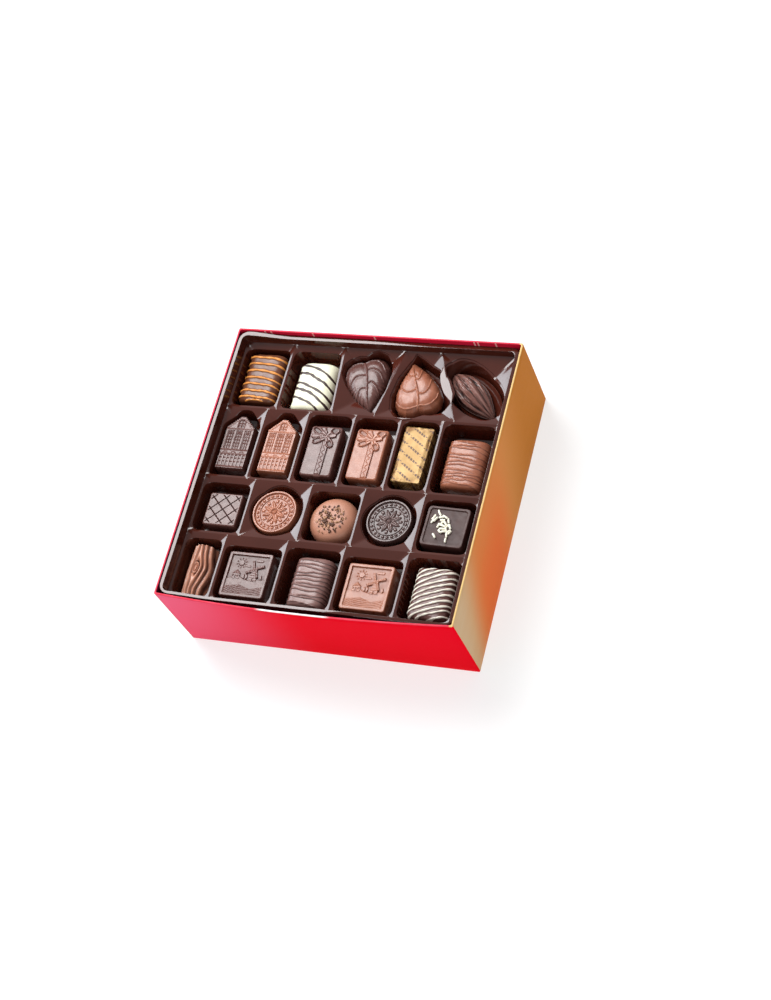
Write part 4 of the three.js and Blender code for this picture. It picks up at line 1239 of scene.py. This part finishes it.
def parcelRelief(x, y, share):
    # A ribbon with a fine pattern, and a bow of loops round its knot, each hollow in its middle
    across, knotY = x - parcel["ribbonX"], parcel["knotY"] * parcel["length"]
    below = smoothStep(knotY + 1, knotY - 1, y)
    band = softBand(across, -parcel["ribbon"] / 2, parcel["ribbon"] / 2, 0.12) * below
    border = np.maximum(rib(across - 1.9, 0.35), rib(across + 1.9, 0.35)) * below
    curls = rib(np.sin(y * 1.5) * 0.8 - across, 0.5) * band
    high = 0.3 * band + 0.22 * border + 0.18 * curls
    low = rib(across - parcel["ribbon"] / 2 - 0.3, 0.35) * below
    for bearing, reach, half, depth in parcel["loops"]:
        angle = np.radians(bearing)
        u = (across * np.cos(angle) + (y - knotY) * np.sin(angle)) / reach
        v = -across * np.sin(angle) + (y - knotY) * np.cos(angle)
        v = v / (half * np.sqrt(np.clip(u, 0, 1)) * (1 - np.clip(u, 0, 1) ** 6) + 0.35)
        body = smoothStep(1.0, 0.75, np.abs(v)) * (u > 0) * smoothStep(1.02, 0.94, u)
        hollow = smoothStep(0.6, 0.36, np.abs(v)) * smoothStep(0.36, 0.5, u) * smoothStep(0.95, 0.84, u)
        hollow = hollow * depth
        pleat = rib(v, 0.2) * softBand(u, 0.12, 0.36, 0.06)
        lift = body * (1.2 - 0.95 * hollow - 0.4 * pleat)
        low = np.maximum(low * (1 - body), hollow * body * 0.7)
        high = np.maximum(high * (1 - 0.9 * body), lift)
    knot = smoothStep(1.0, 0.2, np.hypot(across / 2.5, (y - knotY) / 2.2))
    petals = 0.25 * np.cos(5 * np.arctan2(y - knotY, across)) * knot
    petals = petals * smoothStep(0.3, 1.2, np.hypot(across, y - knotY))
    high = np.maximum(high, knot * 1.35 + petals)
    low = low * (1 - knot)
    edge = smoothStep(1.0, 0.97, share)
    # Painted highlight on the ribbon, bow and knot, and painted shade in the hollows of the loops
    return (high - 0.15 * low) * edge, np.clip(high * 0.55 - low * 0.9, -1, 1)


def makeParcel(name, kind):
    profile = edgeProfile(parcel["height"], roundness=1.2, draft=0.4)
    sheet = pressedSheet(blockOutline(parcel), profile, parcelRelief, rings=84)
    ribbonFront(sheet)
    makeMoulded(name, sheet, kind)


def ribbonFront(sheet):
    # The ribbon goes on down the front side, widening a little to the foot
    points = sheet["points"]
    x, y, z = points[..., 0], points[..., 1], points[..., 2]
    side = smoothStep(-parcel["length"] / 2 + 1.4, -parcel["length"] / 2 + 0.6, y) * (z > 0.5)
    half = parcel["ribbon"] / 2 + 0.1 * (parcel["height"] - z)
    band = softBand(x - parcel["ribbonX"], -half, half, 0.3) * side
    points[..., 1] -= 0.3 * band


# Foil bar

foil = {"width": 20.4, "length": 41, "height": 14, "corner": 1.4, "turn": -1.5, "pitch": 0.0056}


def foilRelief(x, y, share):
    # Crumpled foil: sharp creases from folded noise, shallower over the middle of the top
    creases = 0
    folds = ((9, 0.4, 2, 25), (4.5, 0.26, 3, 70), (2.2, 0.14, 5, 120), (1.2, 0.07, 6, 10))
    for cell, depth, seed, turn in folds:
        turned = turnedXY(np.stack([x, y], axis=-1), turn)
        creases = creases - depth * np.abs(smoothNoise(turned[..., 0] + 50, turned[..., 1] + 50, cell, seed))
    edge = smoothStep(0.72, 1.0, share)
    # Painted shade in the creases, stronger towards the edges
    return creases * (0.14 + edge) - 0.1 * edge, np.clip(creases * (0.5 + 1.6 * edge) + 0.25, -1, 1)


def foilFinish():
    # Crinkled gold foil, painted darker as shade in its creases, printed with slanting rows of short plain
    # dashes
    look = Finish("gold_foil", IOR=1.5)
    tone = look.layer("tone")
    rows = look.node("Mapping", {"vector_type": "TEXTURE"}, {
        "Vector": look.place(), "Location": (0.0418, 0.019, 0), "Rotation": (0, 0, np.radians(-35)),
    })
    along, across = look.axis(0, rows), look.axis(1, rows)
    line = across.math("PINGPONG", foil["pitch"] / 2).above(0.002, 0.00215)
    dash = (along + across * 0.37).math("PINGPONG", 0.0011)
    gap = (along - across * 1.7).math("PINGPONG", 0.0063)
    ink = line * dash.above(0.00022, 0.00032) * gap.above(0.0008, 0.001)
    # Painted shade: darker gold where the tone layer marks a crease
    gold = look.blend((0 - tone).above(0.0, 0.8), tint(164, 130, 80), tint(116, 76, 32))
    look.set(Base_Color=look.blend(ink, gold, tint(88, 56, 34)))
    look.set(Roughness=look.noise(200).above(0.2, 0.8) * 0.12 + 0.44, Metallic=0.35 - ink * 0.3)
    settings = {"noise_type": "RIDGED_MULTIFRACTAL"}
    crumple = look.node("TexNoise", settings, {"Vector": look.place(), "Scale": 260, "Detail": 2})
    look.set(Normal=look.bump(crumple, 0.0002, 0.4))
    return look.material


def makeFoilBar():
    width, length, height = foil["width"], foil["length"], foil["height"]
    profile = [(1.0, height - 0.1), (0.7, height - 0.3), (0.45, height - 0.8), (0.35, height - 1.6)]
    profile += [(0.3 - 0.2 * k / 8, height * (0.84 - 0.09 * k)) for k in range(9)] + [(0.2, 0.3), (0.5, 0)]
    sheet = pressedSheet(blockOutline(foil), profile, foilRelief, rings=60)
    points = sheet["points"]
    x, y, z = (points[..., k] for k in range(3))
    side = smoothStep(height - 0.8, height - 2.5, z) * (z > 0.2)
    around = x * 1.3 + y + 60
    crease = np.abs(smoothNoise(around, z * 1.6 + 20, 3.1, 8)) * 0.5
    crease = crease + np.abs(smoothNoise(around, z + 20, 1.5, 9)) * 0.25
    points[..., 0] -= np.sign(x) * crease * side * (np.abs(x) > width / 2 - 1.5)
    points[..., 1] -= np.sign(y) * crease * side * (np.abs(y) > length / 2 - 1.5)
    # Painted shade in the creases of the sides
    sheet["tone"] = np.where(side > 0, np.clip(0.4 - crease * 3, -1, 1), sheet["tone"])
    flaps = [foilFlap(sign) for sign in (-1, 1)]
    sheets = settled([sheet, *flaps], "gold_foil_bar", foil["turn"])
    makePiece("wrapped_bar", sheets, [foilFinish()], "gold_foil_bar", sharp=20)


def foilFlap(sign):
    # The last fold of the wrapper on an end: a thin triangle with its point up and softly buckled edges
    width, height, out = foil["width"] * 0.42, foil["height"] * 0.72, foil["length"] / 2
    u = np.linspace(-1, 1, 25)[None, :]
    v = np.linspace(0, 1, 15)[:, None]
    x = width * u * (1 - v)
    z = 1.3 + (height - 1.3) * v + 0 * u
    y = out + 0.32 + 0.12 * smoothNoise(u * 9 + 20, v * 6 + 20, 2, 4 + sign)
    front = np.stack([x, sign * y, z], axis=-1)
    back = np.stack([x, sign * (y - 0.9), z], axis=-1)
    ring = np.concatenate([front, back[:, ::-1]], axis=1)
    middle = np.repeat(ring[:1].mean(1, keepdims=True), ring.shape[1], 1)
    return {"points": np.concatenate([middle, ring]), "closed": True, "tone": 0.1}


# Lattice square

latticeSquare = {"width": 24.6, "length": 24.6, "height": 13, "corner": 1.6, "pitch": 8.3}


def latticeRelief(x, y, share):
    # Slanting grooves that cross, and a raised dot in every second field
    pitch = latticeSquare["pitch"]
    lines = [np.abs((x * 0.95 + way * y + 40 * pitch + pitch / 2) % pitch - pitch / 2) for way in (-1, 1)]
    groove = rib(np.minimum(*lines), 0.55) * smoothStep(0.97, 0.92, share)
    away = np.hypot((x + pitch) % (2 * pitch) - pitch, (y + pitch) % (2 * pitch) - pitch)
    dot = rib(away, 1.3) * 0.5 * smoothStep(0.9, 0.8, share)
    # Painted shade in the grooves and a painted highlight on the dots
    return 0.4 * dot - 0.5 * groove, np.clip(dot * 0.6 - groove, -1, 1)


def makeLatticeSquare():
    profile = edgeProfile(latticeSquare["height"])
    sheet = pressedSheet(blockOutline(latticeSquare), profile, latticeRelief, rings=64)
    makeMoulded("lattice_square", sheet, "dark", sharp=35)


# Medallions

medallion = {"radius": 15.3, "height": 12, "beads": 24, "petals": 8}


def medallionRelief(x, y, share):
    # A raised rim, a ring of beads between two fine rings, and a double rosette on a sunk field
    radius, angle = np.hypot(x, y), np.arctan2(y, x)
    edge = medallion["radius"]
    sunk = smoothStep(edge - 1.6, edge - 1.9, radius)
    ring = np.maximum(rib(radius - edge + 5.3, 0.4), rib(radius - edge + 2.3, 0.28) * 0.6)
    turn = 2 * np.pi / medallion["beads"]
    swing = (angle % turn - turn / 2) * (edge - 3.8)
    long = 0.9 + 0.25 * np.cos(angle * medallion["beads"] / 2)
    bead = smoothStep(1.0, 0.3, np.hypot(swing / 1.25, (radius - edge + 3.8) / long))
    turn = 2 * np.pi / medallion["petals"]
    leaf = (angle % turn - turn / 2) * radius / (0.42 + 1.55 * np.sin(np.pi * np.clip(radius / 8.2, 0, 1)))
    outer = smoothStep(1.0, 0.35, np.abs(leaf)) * smoothStep(8.5, 7.6, radius) * smoothStep(1.6, 2.4, radius)
    vein = rib(leaf, 0.2) * outer
    second = ((angle + turn / 2) % turn - turn / 2) * radius
    inner = smoothStep(1.1, 0.4, np.abs(second)) * softBand(radius, 6.6, 8.6, 0.5) * 0.7
    heart = smoothStep(1.8, 0.6, radius) * (0.8 + 0.2 * np.cos(radius * 6))
    shape = np.max([ring * 0.7, bead * 0.75, outer * 0.85 - vein * 0.4, inner, heart], axis=0) * sunk
    # Painted highlight on the raised rings, beads and rosette, and painted shade on the sunk field
    return shape - 0.95 * sunk, np.clip(0.35 + 0.75 * shape - 0.5 * sunk * (1 - shape), -1, 1)


def makeMedallion(name, kind):
    edge, height = medallion["radius"], medallion["height"]
    profile = edgeProfile(height, roundness=0.45, draft=0.5)
    sheet = pressedSheet(ellipse(2 * edge, 2 * edge), profile, medallionRelief, rings=84)
    makeMoulded(name, sheet, "black" if kind == "dark" else kind)


# Nib dome

nibDome = {
    "radius": 16.3, "height": 15, "rim": 6.2, "middle": (-1.0, -1.4), "seed": 26, "nibs": 95, "spread": 10,
    "strays": 9, "strayReach": (8, 11.5), "strayBearing": (0.1, 1.4), "sizes": (0.65, 1.55), "pale": 0.42,
}


def domeLevel(radius):
    share = np.clip(radius / nibDome["radius"], 0, 1)
    return nibDome["rim"] + (nibDome["height"] - 0.2 - nibDome["rim"]) * (1 - share**4.2) ** 0.52


def domeRelief(x, y, share):
    return domeLevel(np.hypot(x, y)) - nibDome["height"] + 0.1 * smoothNoise(x + 40, y + 40, 6, 3), 0 * x


def nibPoints(place, size, turn, tilt, random):
    # A chip of roasted bean: a coarse ball pushed about at random and flattened
    rings, sides = 5, 6
    around = np.linspace(0, 2 * np.pi, sides, endpoint=False)[None, :]
    down = np.linspace(0, np.pi, rings)[:, None]
    rough = 1 + random.uniform(-0.28, 0.28, (rings, sides))
    rough[0], rough[-1] = 1, 1
    x = np.sin(down) * np.cos(around) * rough
    y = np.sin(down) * np.sin(around) * rough * 0.75
    z = np.cos(down) + 0 * around
    points = np.stack([x * size[0], y * size[1], z * size[2]], axis=-1)
    points[..., 2] += points[..., 0] * tilt
    return turnedXY(points, turn) + place


def nibSheet(stray, random):
    # One chip laid on the dome: strays lie by themselves towards the back right
    if stray:
        away, angle = random.uniform(*nibDome["strayReach"]), random.uniform(*nibDome["strayBearing"])
    else:
        away, angle = nibDome["spread"] * random.uniform(0, 1) ** 0.6, random.uniform(0, 2 * np.pi)
    x = nibDome["middle"][0] + away * np.cos(angle)
    y = nibDome["middle"][1] + away * np.sin(angle)
    size = random.uniform(*nibDome["sizes"], 3) * (1, 0.85, 0.6)
    heaped = random.uniform(0, 0.35) * (away < 6)
    place = (x, y, domeLevel(np.hypot(x, y)) + 0.25 * size[2] + heaped)
    points = nibPoints(place, size, random.uniform(0, 360), random.uniform(-0.5, 0.5), random)
    kind = 1 + int(random.uniform() < nibDome["pale"])
    return {"points": points, "closed": True, "kind": kind, "tone": random.uniform(-0.6, 0.8)}


def speckFinish(name, rough, scale, first, second):
    # The two colours of a chip or a sugar strand, blended by a fine noise
    look = Finish(name, Roughness=rough)
    look.set(Base_Color=look.blend(look.noise(scale), tint(*first), tint(*second)))
    return look.material


def makeNibDome():
    radius, height = nibDome["radius"], nibDome["height"]
    profile = [(0, height), (0.0, 5), (0.3, 3.4), (1.2, 1.4), (2.4, 0.3), (3.0, 0)]
    body = pressedSheet(ellipse(2 * radius, 2 * radius), profile, domeRelief, rings=44, bunched=True)
    random = np.random.default_rng(nibDome["seed"])
    nibs = [nibSheet(k >= nibDome["nibs"], random) for k in range(nibDome["nibs"] + nibDome["strays"])]
    husk = speckFinish("nib_husk", 0.6, 900, (72, 42, 30), (108, 68, 48))
    kernel = speckFinish("nib_kernel", 0.65, 900, (154, 108, 78), (184, 140, 106))
    finishes = [chocolateFinish("dome_chocolate", "matt"), husk, kernel]
    sheets = settled([body, *nibs], "nib_dome")
    makePiece("sprinkled_dome", sheets, finishes, "nib_dome", sharp=40)


# Strand square

strandSquare = {
    "width": 29.4, "length": 28.6, "height": 13, "corner": 2.8, "turn": -1.5, "sunk": 0.9, "seed": 15,
    "strandRadius": 0.7, "strandShare": 0.96, "strandBend": 0.3,
}

# Each sugar strand: its middle, the way it points and its length
strands = [
    (-6.1, 9.0, -56, 5.2), (-8.8, 5.6, 65, 4.5), (-7.4, 4.3, 60, 4.0), (-9.3, 2.9, 60, 3.2),
    (-4.0, 6.2, 20, 4.0), (-1.5, 6.5, -25, 4.5), (1.0, 4.3, -70, 4.0), (-2.8, 4.3, 10, 3.5),
    (-0.5, 2.3, -50, 4.2), (-3.0, 1.9, 70, 4.0), (-4.6, 0.3, 75, 4.0), (-1.5, 0.3, -20, 4.0),
    (1.0, 0.5, 60, 3.6), (2.9, 0.3, -65, 4.0), (-1.8, -1.7, 5, 4.0), (0.8, -2.0, -60, 4.2),
    (2.9, -3.1, 45, 3.8), (-0.3, -3.5, 15, 4.0), (3.8, -3.5, 60, 3.4), (-2.8, -3.7, -35, 3.4),
    (-5.5, -7.0, -50, 4.0), (2.3, -9.0, -85, 3.6), (2.3, -5.6, -75, 3.5),
]


def strandSheet(place, angle, length, bend):
    # A short round rod with domed ends, gently bent
    along = np.array([0, 0.04, 0.16, 0.5, 0.84, 0.96, 1.0])[:, None]
    girth = np.array([0, 0.7, 1, 1, 1, 0.7, 0])[:, None] * strandSquare["strandRadius"]
    around = np.linspace(0, 2 * np.pi, 8, endpoint=False)[None, :]
    u = (along - 0.5) * length + 0 * around
    v = girth * np.cos(around) + bend * (along - 0.5) ** 2 * length
    z = girth * np.sin(around)
    return {"points": turnedXY(np.stack([u, v, z], axis=-1), angle) + place, "closed": True, "kind": 1}


def strandRelief(x, y, share):
    # A flat field sunk inside a narrow frame
    inside = smoothStep(0.93, 0.9, share)
    # Painted shade: the sunk field a little darker
    return 0.05 * smoothNoise(x + 30, y + 30, 8, 2) - strandSquare["sunk"] * inside, -0.25 * inside


def makeStrandSquare():
    height, share, bend = (strandSquare[key] for key in ("height", "strandShare", "strandBend"))
    profile = edgeProfile(height, roundness=0.6, draft=0.7)
    sheets = [pressedSheet(blockOutline(strandSquare), profile, strandRelief, rings=56)]
    random = np.random.default_rng(strandSquare["seed"])
    for k, (x, y, angle, long) in enumerate(strands):
        level = height - strandSquare["sunk"] + 0.5 + 0.3 * (k % 3)
        sheets.append(strandSheet((x, y, level), angle, long * share, random.uniform(-bend, bend)))
    sugar = speckFinish("sugar_strand", 0.5, 500, (250, 247, 232), (240, 234, 210))
    finishes = [chocolateFinish("strand_square_chocolate", "glaze"), sugar]
    sheets = settled(sheets, "strand_square", strandSquare["turn"])
    makePiece("sprinkled_square", sheets, finishes, "strand_square")


# Bark log

bark = {
    "width": 19.4, "length": 35, "height": 14, "rows": 170, "columns": 141, "endRows": 6, "knot": (0.02, 1.0),
}


def makeBark():
    # A half round with deep wavy grooves that part round an almond knot
    width, length, height = (bark[key] for key in ("width", "length", "height"))
    rows, ends = bark["rows"], bark["endRows"]
    share = np.concatenate([[0] * ends, np.linspace(0, 1, rows), [1] * ends])[:, None]
    opening = np.linspace(0, 1, ends + 1)[:-1]
    closing = np.concatenate([opening, np.ones(rows), opening[::-1]])[:, None]
    arch = np.linspace(0.02, 0.98, bark["columns"])
    across = np.cos(np.pi * arch)
    y = length * (share - 0.5)
    knotX, knotY = bark["knot"]
    part = np.exp(-(((y - knotY) / 8.5) ** 2))
    side = np.tanh((across - knotX) * 9)
    wave = 0.09 * np.sin(y * 0.2 + 1.2) + 0.015 * np.sin(y * 0.55)
    path = across - 0.3 * part * side * np.exp(-np.abs(across) * 1.2) + wave * (1 - 0.5 * np.abs(across))
    grain = np.cos(18 * path + 0.5)
    grain = np.sign(grain) * np.abs(grain) ** 0.8
    knot = np.hypot((across - knotX) * width / 2 / 2.3, (y - knotY) / 4.6)
    eye = smoothStep(1.0, 0.8, knot)
    inner = rib(knot - 0.55, 0.2) - 0.5 * smoothStep(0.35, 0.2, knot)
    deep = grain * (1 - eye) + (0.6 - 1.3 * np.abs(inner)) * eye - 1.2 * rib(knot - 1.02, 0.16)
    fine = smoothNoise(y * 0.3 + 30, path * 22 + 30, 1, 12) * 0.15
    swell = (1 - 0.05 * (2 * share - 1) ** 2) * (1 + 0.055 * (deep + fine) - 0.035)
    x = -(width / 2 - 0.7) * swell * across
    z = 1 + (height - 1.8) * swell * np.sin(np.pi * arch)
    foot = width / 2 - 1.2 + 0 * share
    corners = [np.hstack([x, foot, -foot]), np.hstack([y + 0 * x, y, y]), np.hstack([z, 0 * foot, 0 * foot])]
    points = np.stack(corners, axis=-1)
    heart = np.concatenate([0 * share, y, 0 * share + height * 0.4], axis=1)[:, None]
    points = heart + (points - heart) * closing[..., None]
    # Painted shade in the grooves and round the knot, and a painted highlight on the ridges
    tone = np.hstack([np.clip(deep * 0.9 + fine + 0.2, -1, 1), 0 * share, 0 * share]) * closing
    sheet = {"points": points, "closed": True, "tone": tone}
    makeMoulded("bark", sheet, "bark", "bark_log")


# Landscape tablets

landscape = {"width": 31.4, "length": 32.4, "height": 12, "corner": 1.8, "frame": 2.8}


def hillsHeight(x, y):
    # Two lines of hills, the nearer one with curved furrows
    skyline = np.interp(x, [-12, -5, 2, 12], [-3, -1.2, -4, -2]) + 0.3 * np.sin(x)
    hill = smoothStep(skyline + 0.2, skyline - 0.2, y)
    near = np.interp(x, [-12, -3, 5, 12], [-8.5, -7.0, -9.5, -7.5])
    furrow = 0.5 + 0.5 * np.sin((y - 0.22 * x + 0.02 * x**2) * 4.2)
    furrows = 0.18 * hill * furrow * smoothStep(near, near - 0.3, y)
    return 0.38 * hill + furrows + 0.15 * smoothStep(near + 0.2, near - 0.2, y)


def cottageHeight(x, y):
    # Walls with a door and two panes under a gable roof of thin courses
    wall = softBox(x, y, -9.6, -4.4, -3, 0.6, 0.1)
    roof = 3.4 - np.abs(x + 7)
    gable = smoothStep(0.15, -0.15, y - roof) * smoothStep(0.4, 0.6, y) * softBand(x, -10.2, -3.8, 0.1)
    door = softBox(x, y, -7.6, -6.4, -3, -0.8, 0.1)
    panes = [softBox(x, y, left, left + 0.9, -1.6, -0.4, 0.08) for left in (-9.1, -5.8)]
    high = np.maximum(0.62 * wall, (0.8 + 0.08 * np.sin(y * 9)) * gable)
    return high, np.max([door, *panes], axis=0) * wall


def millHeight(x, y):
    # A tapering tower with courses, a domed cap and a door, and four sails with slats
    x = x - 5
    tower = smoothStep(0.12, -0.12, np.abs(x) - 3 + 0.16 * (y + 4) + 0.2) * softBand(y, -4, 3.6, 0.1)
    courses = rib(np.abs((y + 4) % 1.6 - 0.8), 0.16) * tower
    cap = smoothStep(1.0, 0.9, np.hypot(x / 1.9, np.maximum(y - 3.6, 0) / 2.2)) * smoothStep(3.4, 3.6, y)
    high = np.maximum(0.7 * tower - 0.12 * courses, 0.85 * cap)
    for angle in np.radians([20, 110, 200, 290]):
        u = x * np.cos(angle) + (y - 4.4) * np.sin(angle)
        v = -x * np.sin(angle) + (y - 4.4) * np.cos(angle)
        blade = softBox(u, v, 0.8, 6.4, -0.1, 1.3, 0.08)
        slats = rib(np.abs((u % 1.1) - 0.55), 0.16) * blade
        arm = softBox(u, v, 0, 6.4, -0.3, 0.2, 0.08)
        high = np.max([high, 0.95 * blade - 0.3 * slats, arm * 1.05], axis=0)
    return high, softBox(x, y, -0.5, 0.5, -4, -1.8, 0.1) * tower


def skyHeight(x, y):
    # A round sun with rays and two clouds, and three small trees on the skyline
    sun = np.hypot(x + 5.5, y - 8.3)
    rays = rib((np.arctan2(y - 8.3, x + 5.5) / (np.pi / 5)) % 1 - 0.5, 0.22) * softBand(sun, 2.6, 3.6, 0.12)
    high = np.maximum(0.45 * smoothStep(2.05, 1.75, sun), 0.3 * rays)
    for cloudX, cloudY, size in ((6.6, 10.6, 0.9), (-0.6, 6.4, 0.7)):
        steps = np.array([-1.6, 0, 1.6])[:, None, None] * size
        puffs = np.hypot(x - cloudX - steps, (y - cloudY) * 1.25) / (1.3 * size)
        high = np.maximum(high, 0.28 * smoothStep(1.05, 0.8, puffs.min(0)))
    for treeX in (-1.8, 0.2, 10.2):
        tree = np.hypot((x - treeX) / 0.8, (y + 1.2) / 1.9)
        high = np.maximum(high, 0.6 * smoothStep(1.05, 0.7, tree))
    return high


def landscapeRelief(x, y, share):
    # A raised frame, and on the sunk field a small country scene
    reachX, reachY = (landscape[key] / 2 - landscape["frame"] for key in ("width", "length"))
    inside = softBox(x, y, -reachX, reachX, -reachY, reachY, 0.2)
    cottage, openings = cottageHeight(x, y)
    mill, door = millHeight(x, y)
    high = np.max([hillsHeight(x, y), cottage, mill, skyHeight(x, y)], axis=0)
    low = np.maximum(openings, door)
    rise = inside * (-1.15 + high * 1.1 - 0.3 * low)
    # Painted shade on the sunk field and in the openings, painted highlight on the raised scene and the frame
    return rise, np.clip(0.25 + inside * (high - 0.5 - 0.7 * low), -1, 1)


def makeLandscape(name, kind):
    profile = edgeProfile(landscape["height"], roundness=0.6, draft=0.7)
    makeMoulded(name, pressedSheet(blockOutline(landscape), profile, landscapeRelief, rings=92), kind)


makeOrangeLog()
makeWhiteLog()
for logName in ribbedLogs:
    makeRibbedLog(logName)
makeStripedDarkLog()
print("logs made")
for leafName in leaves:
    makeLeaf(leafName)
makePod()
makeBark()
print("leaves, pod and bark made")
for kindName in ("dark", "milk"):
    makeHouse(kindName + "_house", kindName)
    makeParcel(kindName + "_gift", kindName)
    makeMedallion(kindName + "_medallion", kindName)
    makeLandscape(kindName + "_landscape", kindName)
makeFoilBar()
makeLatticeSquare()
makeNibDome()
makeStrandSquare()
print("moulded pralines made")
